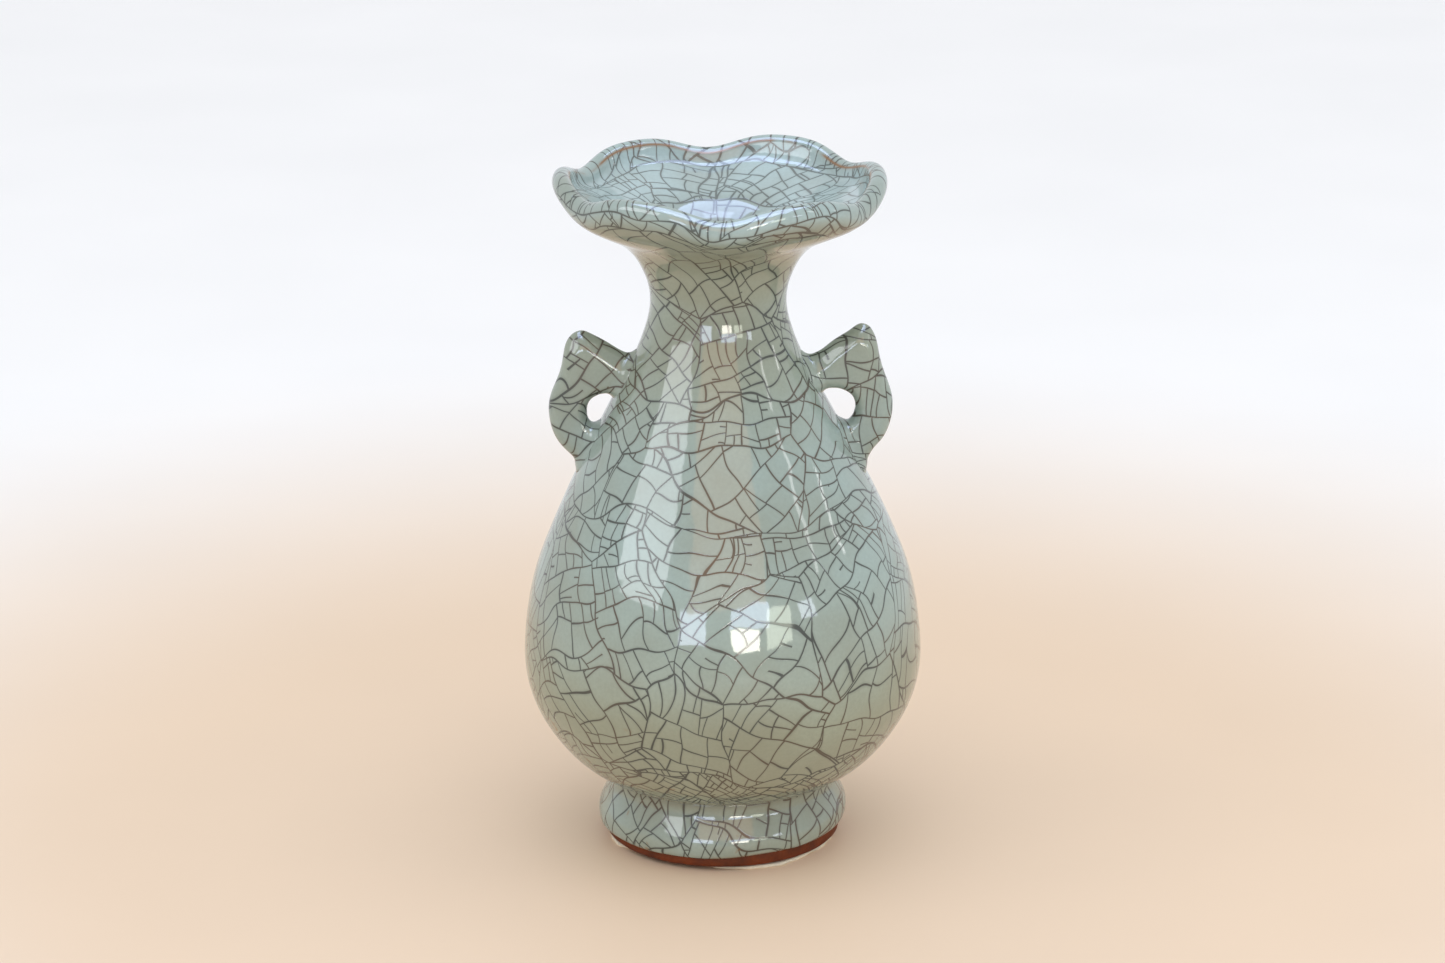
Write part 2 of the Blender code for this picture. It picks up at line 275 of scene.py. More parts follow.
# Outer wall as (radius, height) in millimetres, from the foot over the belly to under the mouth.
WALL = (
    (32.5, 19.5), (37.2, 22.0), (42.3, 26.0), (47.4, 32.0), (52.0, 40.0), (54.4, 48.0), (54.9, 55.0),
    WAIST_OUT, (54.1, 65.0), (52.0, 76.0), (47.7, 88.0), (42.4, 100.0), (36.6, 112.0), (30.5, 124.0),
    (24.2, 136.0), (20.1, 146.0), (18.5, 154.0), (19.3, 160.0), NECK_OUT, (22.0, 166.0),
)

# Underside of the mouth, the rolled lip and the dish as (radius, height, share of the lobes' wave).
MOUTH_UNDER = (
    (*MOUTH_ROOT, 0.0), (27.2, 171.5, 0.02), (30.4, 173.5, 0.05), (33.6, 175.1, 0.1), (36.6, 176.7, 0.2),
    (39.4, 178.5, 0.38), (41.8, 180.6, 0.65),
)
LIP = (
    (43.3, 182.4, 0.92), (44.3, 183.9, 1.0), (44.75, 185.5, 1.0), (44.5, 187.1, 1.0), (43.6, 188.3, 1.0),
    (42.2, 188.8, 1.0), (40.8, 188.3, 1.0), (39.9, 187.2, 1.0),
)
DISH = (
    (39.45, 185.8, 0.95), (38.9, 184.3, 0.8), (37.8, 183.2, 0.62), (35.8, 182.3, 0.46), (32.0, 181.0, 0.28),
    (27.0, 179.3, 0.12), (*THROAT, 0.04), (19.1, 175.2, 0.0), (16.6, 172.4, 0.0), (15.1, 169.0, 0.0),
    (14.6, 166.0, 0.0),
)
# Inside of the neck and the belly as (radius, height), down to the floor of the pot.
INSIDE = (
    NECK_IN, (14.2, 156.0), (15.3, 147.0), (19.4, 136.0), (26.0, 123.0), (32.6, 110.0), (38.6, 98.0),
    (43.8, 86.0), (47.8, 75.0), (49.8, 65.0), WAIST_IN, (49.6, 48.0), (46.8, 40.0), (41.8, 33.0),
    (34.0, 28.6), (22.0, 26.3), (3.0, 26.0),
)
ROW_STEP = 1.25             # spacing of the skin's rows in millimetres, halved about the lip
LIP_ZONE = 4                # the first zone of the crackle whose lower border follows the mouth
FOOT_CLIMB = 40.0           # the foot's own crackle starts here, clear of the pot's


class Skin:
    """The whole skin of the pot as one grid, from the foot over the lip to the inside floor.

    A row is a ring at (radius, height). The lobes' wave is cos(6a) less a little cos(12a), which
    sharpens the notches, and each point moves by its share of it, outwards and upwards. A few long
    waves are added to the radius, and the ring slides sideways with the lean of the neck.
    """

    def __init__(self, sizes):
        wall = [(*knot, 0.0) for knot in WALL]
        inside = [(*knot, 0.0) for knot in INSIDE]
        self.knots = [*wall, *MOUTH_UNDER, *LIP, *DISH, *inside]
        first_lip = len(wall) + len(MOUTH_UNDER)
        counts = spans(self.knots, ROW_STEP)
        counts[first_lip - 3:first_lip + len(LIP) + 3] *= 2
        counts[first_lip - 1:first_lip + len(LIP)] += 1
        self.start = np.concatenate([[0], np.cumsum(counts)])
        self.rows = smooth_through(self.knots, counts)
        self.lip = (self.start[first_lip], self.start[first_lip + len(LIP) - 1])
        self.points = self.bend(self.rows, sizes)
        self.normals = grid_normals(self.points)
        radius = np.maximum(0.5 * (self.rows[1:, 0] + self.rows[:-1, 0]), 2.0)
        step = np.linalg.norm(np.diff(self.rows[:, :2], axis=0), axis=1)
        self.climb = np.concatenate([[0.0], np.cumsum(step / radius)])

    def at(self, knot):
        """Row of the knot with this radius and height."""
        return int(self.start[[k[:2] for k in self.knots].index(knot)])

    def bend(self, rows, sizes):
        """The rows as rings, lobed about the mouth, uneven by a few long waves, and leaning to the left."""
        angle = np.arange(sizes.columns) * 2.0 * math.pi / sizes.columns
        turn = sizes.lobes * (angle - sizes.lobe_turn)
        rise = (sizes.lip_rise * np.cos(turn) - sizes.lip_pinch * np.cos(2.0 * turn)
                + 0.42 * MM * np.sin(2.0 * angle))
        swell = sizes.lip_swell * np.cos(turn) - 0.17 * MM * np.cos(2.0 * turn) + 1.4 * MM * np.cos(angle)
        flat_radius, flat_height, wave = (rows[:, i:i + 1] for i in range(3))
        waves = (0.5 * np.sin(2.0 * angle + 0.045 * flat_height)
                 + 0.3 * np.sin(3.0 * angle - 0.08 * flat_height + 1.0)
                 + 0.2 * np.sin(5.0 * angle + 0.12 * flat_height + 2.0))
        clear = soft_step(19.5, 30.0, flat_height) * soft_step(2.0, 20.0, flat_radius)
        radius = flat_radius * MM + wave * swell + sizes.wobble * waves * clear
        height = flat_height * MM + wave * rise
        lean = -sizes.lean * soft_step(78.0, 152.0, flat_height) - 0.9 * MM * soft_step(0.0, 1.0, wave)
        return np.stack([radius * np.cos(angle) + lean, radius * np.sin(angle),
                         np.broadcast_to(height, radius.shape)], axis=-1)

    def zones(self):
        """Zones of the crackle: (climb, mean radius in mm, draw across the climb, extra share of cuts)."""
        first, last = self.lip
        marks = [
            (0, 60.0, 1.0, 0.4),                        # lower belly
            (self.near(36.0), 51.0, 1.0, 0.04),         # belly
            (self.near(104.0), 35.0, 1.0, 0.0),         # shoulder
            (self.near(130.0), 22.5, 1.0, 0.1),         # neck
            (first - 8, 50.0, 1.0, 0.1),                # underside of the mouth
            (first + 1, 62.0, 0.5, 0.0),                # lip
            (last + 5, 38.0, 1.0, 0.0),                 # dish
            (self.at(THROAT), 20.0, 1.0, 0.0),          # throat
        ]
        return [(float(self.climb[row]), *rest) for row, *rest in marks]

    def near(self, height):
        """The outer wall's row nearest to a height in millimetres."""
        return int(np.argmin(abs(self.rows[:self.lip[0], 1] - height)))

    def piece(self, name, outer, inner, look, poles=None):
        """A closed piece: the outer rows, a flat seam, the inner rows and a flat seam back."""
        index = np.concatenate([np.arange(outer[0], outer[1] + 1), np.arange(inner[0], inner[1] + 1)])
        points = self.points[index]
        rows, columns = points.shape[:2]
        facets = np.zeros(rows if poles is None else rows - 1, bool)
        if inner[0] != outer[1] + 1:
            facets[outer[1] - outer[0]] = True
        if poles is None:
            facets[-1] = True
        laid = np.zeros((rows * columns, 3))
        laid[:, 1] = np.repeat(self.climb[index], columns)
        worn = np.repeat(np.exp(-((index - self.lip[1] + 1) / 0.9) ** 2), columns)
        start, end = poles or (None, None)
        if poles is not None:
            laid = np.vstack([laid, laid[:1], laid[-1:]])
            worn = np.concatenate([worn, [0.0, 0.0]])
        extra = {"crackle_at": ("FLOAT_VECTOR", "POINT", laid), "worn_edge": ("FLOAT", "POINT", worn)}
        return closed_mesh(name, points, self.normals[index], look, facets, start, end, extra)


def build_body(skin, look):
    """The pot's skin in three closed pieces, cut at the waist's seam and at the neck's."""
    waist_out, waist_in = skin.at(WAIST_OUT), skin.at(WAIST_IN)
    neck_out, neck_in = skin.at(NECK_OUT), skin.at(NECK_IN)
    poles = (skin.points[0].mean(axis=0), skin.points[-1].mean(axis=0))
    belly = skin.piece("glazed_belly", (0, waist_out), (waist_in, len(skin.points) - 1), look, poles)
    neck = skin.piece("glazed_neck", (waist_out, neck_out), (neck_in, waist_in), look)
    mouth = skin.piece("glazed_mouth", (neck_out, neck_in - 1), (neck_in, neck_in), look)
    place(belly, "belly_bowl")
    place(neck, "shoulder_neck")
    place(mouth, "flower_mouth")


# --------------------------------------------------------------------------- foot ring

# Glazed band of the foot as (radius, height) in millimetres: upright under the groove, then flared,
# then rounded over to the glaze's edge. Heights below FOOT_TOP are drawn up where the edge is higher.
FOOT_BAND = (
    (30.2, 19.9), (31.0, 19.2), (31.2, 18.2), (31.25, 17.0), (31.35, 15.9), (31.75, 14.8), (32.3, 13.6),
    (32.85, 12.4), (33.4, 11.2), (33.95, 10.0), (34.4, 8.8), (34.6, 7.6), (34.55, 6.2), (34.3, 5.0),
    (33.8, 4.15), (33.2, 3.75), (32.6, 3.7),
)
FOOT_TOP = FOOT_BAND[0][1]
FOOT_EDGE = FOOT_BAND[-1][1]
FOOT_MEAN = 33.0            # mean radius of the band, for its climb

# Inner face of the glazed band, hidden within the clay, from its edge up, as (radius, height).
BAND_LINING = ((26.0, 4.6), (26.0, 11.0), (26.0, 19.2))
EDGE_WEAR = (1.0, 0.8, 0.4, 0.1)    # how worn the glaze is on the band's lowest rows

# Clay ring as (radius, share of the glaze edge's height, height added): down the outside from behind
# the glaze's edge to the resting face, then up the inside and back over the top.
CLAY_OUTSIDE = (
    (32.45, 1.0, 0.35), (32.7, 1.0, 0.0), (32.75, 0.75, 0.4), (32.65, 0.45, 0.8), (32.45, 0.0, 1.9),
    (31.9, 0.0, 1.3), (31.0, 0.0, 1.1),
)
CLAY_INSIDE = (
    (26.5, 0.0, 1.1), (25.7, 0.0, 1.3), (25.3, 0.0, 1.9), (25.2, 0.0, 4.0), (24.8, 0.0, 11.0),
    (24.3, 0.0, 19.1), (27.0, 1.0, 8.35),
)


def rings(radius, height, angle):
    """Rings in metres, the lowest row last, from radii and heights in millimetres."""
    radius, height = np.broadcast_arrays(radius, height)
    return MM * np.stack([radius * np.cos(angle), radius * np.sin(angle), height], axis=-1)


def foot_band(sizes, angle, edge, look):
    """Glazed band: its profile turned, with the heights drawn so that it ends at the edge all round."""
    rows = smooth_through(FOOT_BAND, spans(FOOT_BAND, 0.5))
    climb = np.cumsum(np.linalg.norm(np.diff(rows, axis=0), axis=1)) / FOOT_MEAN
    climb = np.concatenate([[0.0], climb, np.zeros(len(BAND_LINING))])
    uneven = 0.12 * np.sin(2.0 * angle + 0.6) + 0.06 * np.sin(5.0 * angle)
    drawn = (FOOT_TOP - edge) / (FOOT_TOP - FOOT_EDGE)
    lining = np.array(BAND_LINING)[:, :, None] + 0.0 * angle
    radius = np.vstack([rows[:, :1] + uneven, lining[:, 0]])
    height = np.vstack([FOOT_TOP - (FOOT_TOP - rows[:, 1:2]) * drawn, lining[:, 1]])
    points = rings(radius, height, angle)[::-1]
    facets = np.zeros(len(points), bool)
    facets[:len(BAND_LINING)] = facets[-1] = True
    laid = np.zeros(points.shape)
    laid[..., 1] = FOOT_CLIMB + climb[::-1, None]
    worn = np.zeros(len(points))
    worn[len(BAND_LINING):len(BAND_LINING) + len(EDGE_WEAR)] = EDGE_WEAR
    extra = {
        "crackle_at": ("FLOAT_VECTOR", "POINT", laid.reshape(-1, 3)),
        "worn_edge": ("FLOAT", "POINT", np.repeat(worn, sizes.columns)),
    }
    return closed_mesh("foot_glaze", points, grid_normals(points), look, facets, extra=extra)


def foot_clay(angle, edge, look):
    """Clay ring: its profile turned, with a share of each height taken from the glaze's edge."""
    rows = np.array(CLAY_OUTSIDE + CLAY_INSIDE)
    outside = np.arange(len(rows))[:, None] < len(CLAY_OUTSIDE)
    radius = rows[:, :1] + 0.1 * outside * np.sin(2.0 * angle + 0.6)
    height = rows[:, 1:2] * edge + rows[:, 2:]
    item = closed_mesh("foot_clay", rings(radius, height, angle)[::-1], None, look)
    item.data.set_sharp_from_angle(angle=math.radians(50.0))
    return item


def build_foot(sizes, glaze, clay):
    """The glazed band and the bare ring under it. The glaze's edge tilts up to the right and waves."""
    angle = np.arange(sizes.columns) * 2.0 * math.pi / sizes.columns
    edge = sizes.glaze_edge / MM + sizes.glaze_tilt / MM * np.cos(angle)
    edge = edge + 0.16 * np.sin(5.0 * angle + 1.0) + 0.1 * np.sin(9.0 * angle)
    place(foot_band(sizes, angle, edge, glaze), "foot_ring")
    place(foot_clay(angle, edge, clay), "foot_ring")


# --------------------------------------------------------------------------- ears

# Outer edge and inner edge of an ear handle, x outwards and z up, in millimetres, from the upper root
# over the pointed tip and down the trunk to the lower root. The inner edge goes round the hole.
LEFT_OUTER = (
    (20.0, 137.0), (23.0, 137.9), (25.4, 138.8), (28.0, 140.0), (30.7, 141.7), (33.4, 143.3), (36.1, 144.7),
    (38.2, 145.4), (40.1, 144.9), (41.7, 143.5), (42.8, 141.3), (43.4, 138.4), (44.1, 134.8), (45.1, 131.9),
    (46.5, 128.5), (47.3, 125.7), (47.5, 122.8), (47.1, 119.4), (46.0, 115.9), (44.5, 113.4), (42.4, 111.1),
    (40.4, 108.9), (39.0, 106.4), (35.5, 103.0),
)
LEFT_INNER = (
    (22.0, 128.5), (27.0, 127.6), (29.5, 127.7), (31.5, 127.8), (32.8, 127.6), (33.7, 127.4), (34.5, 127.0),
    (35.2, 126.6), (35.8, 126.1), (36.2, 125.6), (36.5, 125.1), (36.7, 124.6), (36.85, 124.1), (36.95, 123.6),
    (37.0, 123.1), (37.0, 122.6), (37.0, 122.0), (36.9, 121.2), (36.6, 120.4), (36.1, 119.7), (35.4, 119.1),
    (34.5, 118.7), (33.0, 118.4), (29.0, 118.2),
)
RIGHT_OUTER = (
    (19.5, 137.0), (22.3, 138.0), (24.6, 138.9), (26.8, 140.0), (29.4, 142.1), (32.0, 143.9), (35.0, 145.9),
    (37.6, 147.4), (39.5, 146.9), (40.9, 145.2), (41.9, 142.7), (42.6, 139.3), (43.5, 135.6), (44.7, 132.2),
    (45.9, 128.7), (46.5, 125.3), (46.3, 121.6), (45.3, 117.9), (43.7, 114.8), (41.6, 112.3), (40.2, 110.0),
    (39.0, 107.6), (37.5, 105.6), (34.5, 103.0),
)
RIGHT_INNER = (
    (21.5, 129.8), (26.0, 129.2), (28.5, 129.3), (30.3, 129.3), (31.7, 129.2), (32.7, 128.9), (33.6, 128.5),
    (34.4, 128.0), (35.0, 127.5), (35.5, 126.9), (35.8, 126.3), (36.0, 125.7), (36.15, 125.1), (36.2, 124.5),
    (36.2, 123.9), (36.1, 123.3), (35.9, 122.6), (35.7, 121.9), (35.3, 121.2), (34.8, 120.6), (34.2, 120.1),
    (33.4, 119.8), (32.0, 119.5), (28.5, 119.2),
)
EAR_STEPS = 5               # rows from one point of an outline to the next
SECTION_STEPS = 32          # half of the columns round a section
HEAD_END = 11.0             # the outline's point where the pointed head ends and the trunk starts
ROUND_INNER = 3.0           # rounding radius along the inner edge, in millimetres
ROUND_OUTER = 3.4           # the same along the outer edge of the trunk
HEAD_SHARPER = 1.5          # how much smaller that is on the head
FACET = 4.6                 # width of the head's facet, from its upper edge to the ridge
EDGE_SHARE = 0.34           # share of the head's thickness left at the upper edge
FACET_EASE = 0.10           # how softly the facet starts and ends
HEAD_SWELL = 0.06           # how much thicker the head is than the trunk
ROOT_FADE = (-2.4, -0.2)    # distance from the wall over which the root's fillet fades in
ROOT_SLIDE = 1.2            # distance up to which the fillet slides along the wall


def ear_surface(outer, inner, trunk):
    """Sections of an ear handle, in millimetres, as (rows, columns, 3), seen as if on the right.

    A section runs from the inner edge to the outer edge and back. Its half thickness is the trunk's,
    times sqrt(1 - (1 - t)^2) within a rounding radius of each edge, and on the head it falls in a
    straight facet from the ridge to the upper edge.
    """
    steps = np.full(len(outer) - 1, EAR_STEPS)
    rim = smooth_through(outer, steps)
    hole = smooth_through(inner, steps)
    width = np.linalg.norm(rim - hole, axis=1)[:, None]
    from_inner = 0.5 * (1.0 - np.cos(np.arange(SECTION_STEPS) * math.pi / SECTION_STEPS)) * width
    from_outer = width - from_inner
    at = np.arange(len(rim))[:, None] / EAR_STEPS
    head = 1.0 - soft_step(HEAD_END - 2.0, HEAD_END + 2.0, at)
    inner_part = np.clip(1.0 - from_inner / ROUND_INNER, 0.0, 1.0)
    outer_part = np.clip(1.0 - from_outer / (ROUND_OUTER - HEAD_SHARPER * head), 0.0, 1.0)
    round_off = np.sqrt(1.0 - inner_part ** 2) * np.sqrt(1.0 - outer_part ** 2)
    slope = np.clip(from_outer / FACET, 0.0, 1.0)
    slope = slope - FACET_EASE * np.sin(2.0 * math.pi * slope) / (2.0 * math.pi)
    roof = EDGE_SHARE + (1.0 - EDGE_SHARE) * slope
    thick = trunk * (1.0 + HEAD_SWELL * head) * round_off * (head * roof + 1.0 - head)
    far_side = np.concatenate([np.zeros_like(thick[:, :1]), thick[:, 1:][:, ::-1]], axis=1)
    depth = np.concatenate([-thick, far_side], axis=1)
    along = np.concatenate([from_inner, from_outer], axis=1)
    direction = (rim - hole) / width
    return np.stack([hole[:, :1] + direction[:, :1] * along, depth,
                     hole[:, 1:] + direction[:, 1:] * along], axis=-1)


def glaze_root(points, skin, q):
    """The ear's surface pushed out near the wall, as glaze fills the corner in a fillet of radius q.

    The push is q - sqrt(q^2 - (q - d)^2), with d the distance to the wall, and it fades inside the
    wall. Close to the wall it slides along it: the part of the normal that leaves it is taken out.
    """
    wall = skin.points[:skin.at(MOUTH_ROOT)] / MM
    wall_z = wall[:, 0, 2]
    centre = wall[..., 0].mean(axis=1)
    wall_radius = np.interp(points[..., 2], wall_z, np.hypot(wall[:, 0, 0] - centre, wall[:, 0, 1]))
    steep = np.interp(points[..., 2], wall_z, np.gradient(wall[:, 0, 0], wall_z))
    from_axis = points[..., :2].copy()
    from_axis[..., 0] -= np.interp(points[..., 2], wall_z, centre)
    apart = (np.linalg.norm(from_axis, axis=-1) - wall_radius) / np.sqrt(1.0 + steep ** 2)
    near = q - np.clip(apart, 0.0, q)
    push = q - np.sqrt(np.clip(q * q - near * near, 0.0, None))
    push = np.minimum(push, 0.9 * q) * soft_step(*ROOT_FADE, apart)
    outward = unit(np.concatenate([unit(from_axis), -steep[..., None]], axis=-1))
    normals = grid_normals(points)
    leaving = np.clip(np.sum(normals * outward, axis=-1), 0.0, None)
    leaving = leaving * (1.0 - soft_step(0.0, ROOT_SLIDE, apart))
    return points + (normals - outward * leaving[..., None]) * push[..., None]


def build_ear(name, cad_node, side, outer, inner, sizes, skin, look):
    """One ear handle, closed in the wall at both roots. Its crackle's map is (x + 0.6 y, z + 0.55 y)."""
    points = ear_surface(outer, inner, sizes.trunk / MM) * (side, 1.0, 1.0)
    if side > 0.0:
        points = points[:, ::-1]
    points = glaze_root(points, skin, sizes.root_fillet / MM)
    start = points[0].mean(axis=0)
    end = points[-1].mean(axis=0)
    x, y, z = np.vstack([points.reshape(-1, 3), start, end]).T
    laid = np.stack([x + 0.6 * y, z + 0.55 * y + 300.0, np.ones(len(x))], axis=-1)
    extra = {"crackle_at": ("FLOAT_VECTOR", "POINT", laid)}
    item = closed_mesh(name, points * MM, None, look, start=start * MM, end=end * MM, extra=extra)
    place(item, cad_node)


# --------------------------------------------------------------------------- pad

# Where the disc is torn short or left long: direction in degrees, width in degrees, and millimetres.
PAD_TEARS = ((-118.0, 26.0, -5.0), (-66.0, 16.0, 0.9), (-160.0, 12.0, 1.2))
# Its edge as (outwards, share of the thickness, fibrous or not), from the underside to the top.
PAD_EDGE = (
    (-1.2, 0.0, 0.0), (-0.15, 0.0, 0.0), (0.0, 0.2, 1.0), (0.05, 0.5, 1.0), (-0.12, 0.82, 1.0),
    (-0.5, 0.97, 0.0), (-1.6, 1.0, 0.0),
)
PAD_COLUMNS = 360


def build_pad(sizes, look):
    """Pulp-board disc, torn by hand: a circle, less and plus a few bell curves, with a fine ripple."""
    angle = np.arange(PAD_COLUMNS) * 2.0 * math.pi / PAD_COLUMNS
    radius = sizes.pad / MM + 0.22 * np.sin(11.0 * angle) + 0.16 * np.sin(23.0 * angle + 1.0)
    radius = radius + 0.1 * np.sin(41.0 * angle)
    for middle, wide, more in PAD_TEARS:
        off = (angle - math.radians(middle) + math.pi) % (2.0 * math.pi) - math.pi
        radius = radius + more * np.exp(-(off / math.radians(wide)) ** 2)
    out, up, fibrous = (np.array(PAD_EDGE)[:, i:i + 1] for i in range(3))
    radii = radius + out + 0.1 * fibrous * np.sin(17.0 * angle + 0.5)
    points = rings(radii, up * sizes.pad_thickness / MM, angle)
    middle_top = (0.0, 0.0, sizes.pad_thickness)
    item = closed_mesh("cream_pad", points, None, look, start=(0.0, 0.0, 0.0), end=middle_top)
    item.data.set_sharp_from_angle(angle=math.radians(55.0))
    place(item, "base_pad")


# --------------------------------------------------------------------------- materials

def node(tree, kind, inputs=None, **settings):
    """Add a node, set its settings, and give its inputs a value or a link from a node or socket."""
    made = tree.nodes.new(kind)
    for key, value in settings.items():
        setattr(made, key, value)
    for key, value in (inputs or {}).items():
        if isinstance(value, bpy.types.Node):
            value = next(s for s in value.outputs if s.enabled)
        if isinstance(value, bpy.types.NodeSocket):
            tree.links.new(value, made.inputs[key])
        else:
            made.inputs[key].default_value = value
    return made


MATH = "ShaderNodeMath"
VECTOR = "ShaderNodeVectorMath"
NOISE = "ShaderNodeTexNoise"
VORONOI = "ShaderNodeTexVoronoi"
MAP = "ShaderNodeMapRange"
MIX = "ShaderNodeMix"
SPLIT = "ShaderNodeSeparateXYZ"
JOIN = "ShaderNodeCombineXYZ"

POT_HEIGHT = 190.0          # in millimetres, for the glaze's colours
EAR_MAP = 1.15              # how much finer the crackle is on the ears
FAR = 50.0                  # a distance in millimetres beyond any crack's
NET = 2.5                   # cells across a large cell, which the oldest cracks bound

# Bends of the cracks in millimetres: how far apart, how far they reach, and whether they are weaker
# where the pot is narrow.
BENDS = ((18.0, 6.5, True), (48.0, 17.0, True), (10.0, 4.4, False))

# Late cracks, in the order in which they form: how far the next one lies from the middle, the share
# of cells without one, and how much it curves and tilts.
LATE_CRACKS = ((3.2, 0.02, 0.05, 0.6), (2.9, 0.10, 0.07, 0.6), (1.6, 0.80, 0.12, 0.4), (1.4, 0.93, 0.12, 0.4))

# Share of cool glaze by height, as a share of the pot's: some on the foot, none low on the belly, where the
# plain glaze stands for a painted reflection of a warm floor, most on the shoulder, little on the neck, and
# all of it on the lip.
TONE_AND_REFLECTION_HEIGHTS = (
    (0.06, 0.55), (0.095, 0.4), (0.13, 0.0), (0.25, 0.0), (0.38, 0.6), (0.50, 1.0), (0.62, 1.0), (0.72, 0.35),
    (0.88, 0.2), (0.95, 1.0),
)


def new_material(name):
    """An empty material with a shader and its output."""
    made = bpy.data.materials.new(name)
    made.use_nodes = True
    tree = made.node_tree
    tree.nodes.clear()
    shader = node(tree, "ShaderNodeBsdfPrincipled")
    node(tree, "ShaderNodeOutputMaterial", {"Surface": shader})
    return made, tree, shader


def place_in_mm(tree):
    """The point on the object, in millimetres."""
    place_m = node(tree, "ShaderNodeTexCoord").outputs["Object"]
    return node(tree, VECTOR, {0: place_m, "Scale": 1.0 / MM}, operation="SCALE")


def crack_bend(tree, place_mm, radius):
    """How far a point is moved, so that the cracks aren't straight: a sum of noises from -1/2 to 1/2."""
    room = node(tree, MAP, {"Value": radius, "From Min": 12.0, "From Max": 48.0,
                            "To Min": 0.35, "To Max": 1.0})
    bend = (0.0, 0.0, 0.0)
    for apart, reach, held in BENDS:
        wave = node(tree, NOISE, {"Vector": place_mm, "Scale": 1.0 / apart, "Detail": 0.0})
        wave = node(tree, VECTOR, {0: wave.outputs["Color"], 1: (0.5, 0.5, 0.5)}, operation="SUBTRACT")
        size = node(tree, MATH, {0: room if held else 1.0, 1: reach}, operation="MULTIPLY")
        wave = node(tree, VECTOR, {0: wave, "Scale": size}, operation="SCALE")
        bend = node(tree, VECTOR, {0: wave, 1: bend}, operation="ADD")
    return bend


def zone_of(tree, skin, climb, place_mm, radius):
    """What the zone of a point says: scale, draw, shift and share of cuts, and how far off its border is.

    Each value is the first zone's plus, for every mark that the climb has passed, the change there.
    Borders on the wall wander by a few millimetres. The lip's follow its two edges.
    """
    zones = skin.zones() + [(0.5 * FOOT_CLIMB, 40.0, 0.75, 0.1)]
    wander = node(tree, NOISE, {"Vector": place_mm, "Scale": 1.0 / 34.0, "Detail": 0.0})
    wander = node(tree, MATH, {0: wander, 1: 30.0, 2: -15.0}, operation="MULTIPLY_ADD")
    wander = node(tree, MATH, {0: wander, 1: radius}, operation="DIVIDE")
    _, *values = zones[0]
    values.append(0.0)
    border = FAR
    for (_, *before), (mark, *after) in zip(zones, zones[1:]):
        loose = 1.0 if mark < zones[LIP_ZONE][0] else 0.0
        ahead = node(tree, MATH, {0: wander, 1: loose, 2: climb}, operation="MULTIPLY_ADD")
        past = node(tree, MATH, {0: ahead, 1: mark}, operation="GREATER_THAN")
        changes = [new - old for old, new in zip(before, after)] + [217.0]
        values = [node(tree, MATH, {0: past, 1: change, 2: value}, operation="MULTIPLY_ADD")
                  for value, change in zip(values, changes)]
        apart = node(tree, MATH, {0: ahead, 1: mark}, operation="SUBTRACT")
        apart = node(tree, MATH, {0: apart}, operation="ABSOLUTE")
        border = node(tree, MATH, {0: apart, 1: border}, operation="MINIMUM")
    border = node(tree, MATH, {0: border, 1: radius}, operation="MULTIPLY")
    scale, draw, cuts, shift = values
    return scale, draw, shift, cuts, border


def crackle_map(tree, skin, place_mm, placed, radius, bend):
    """The flat map that carries the crackle, its draw, its scale, the share of cuts and the nearest border.

    On the pot it is (K a, K c), with a the angle, c the climb, which is the sum of ds / r along the
    profile, and K the mean radius of a zone. That keeps every angle, and its scale is r / K. On the
    ears it is the place seen from the front.
    """
    bent = node(tree, SPLIT, {0: node(tree, VECTOR, {0: place_mm, 1: bend}, operation="ADD")})
    bend_up = node(tree, SPLIT, {0: bend}).outputs[2]
    back = node(tree, MATH, {0: bent.outputs[1], 1: -1.0}, operation="MULTIPLY")
    angle = node(tree, MATH, {0: bent.outputs[0], 1: back}, operation="ARCTAN2")
    parts = node(tree, SPLIT, {0: placed})
    climb = node(tree, MATH, {0: bend_up, 1: radius}, operation="DIVIDE")
    climb = node(tree, MATH, {0: climb, 1: parts.outputs[1]}, operation="ADD")
    scale, draw, shift, cuts, border = zone_of(tree, skin, climb, place_mm, radius)

    # The map is cut open at the back, and that cut is a crack as well.
    behind = node(tree, MATH, {0: bent.outputs[1], 1: 0.0}, operation="LESS_THAN")
    back_cut = node(tree, MATH, {0: bent.outputs[0]}, operation="ABSOLUTE")
    back_cut = node(tree, MATH, {0: behind, 1: FAR, 2: back_cut}, operation="MULTIPLY_ADD")
    border = node(tree, MATH, {0: border, 1: back_cut}, operation="MINIMUM")

    around = node(tree, MATH, {0: angle, 1: scale}, operation="MULTIPLY")
    up = node(tree, MATH, {0: climb, 1: scale}, operation="MULTIPLY")
    up = node(tree, MATH, {0: up, 1: draw}, operation="MULTIPLY")
    up = node(tree, MATH, {0: up, 1: shift}, operation="ADD")
    on_pot = node(tree, JOIN, {0: around, 1: up})
    on_ear = node(tree, VECTOR, {0: placed, 1: bend}, operation="ADD")
    on_ear = node(tree, VECTOR, {0: on_ear, 1: (EAR_MAP, EAR_MAP, 0.0)}, operation="MULTIPLY")
    ear = parts.outputs[2]
    flat = node(tree, MIX, {0: ear, 4: on_pot, 5: on_ear}, data_type="VECTOR")
    drawn = node(tree, MIX, {0: ear, 2: draw, 3: 1.0}, data_type="FLOAT")
    stretch = node(tree, JOIN, {0: 1.0, 1: drawn})
    real = node(tree, MATH, {0: radius, 1: scale}, operation="DIVIDE")
    real = node(tree, MIX, {0: ear, 2: real, 3: 1.0 / EAR_MAP}, data_type="FLOAT")
    border = node(tree, MATH, {0: ear, 1: FAR, 2: border}, operation="MULTIPLY_ADD")
    return flat, stretch, real, cuts, border


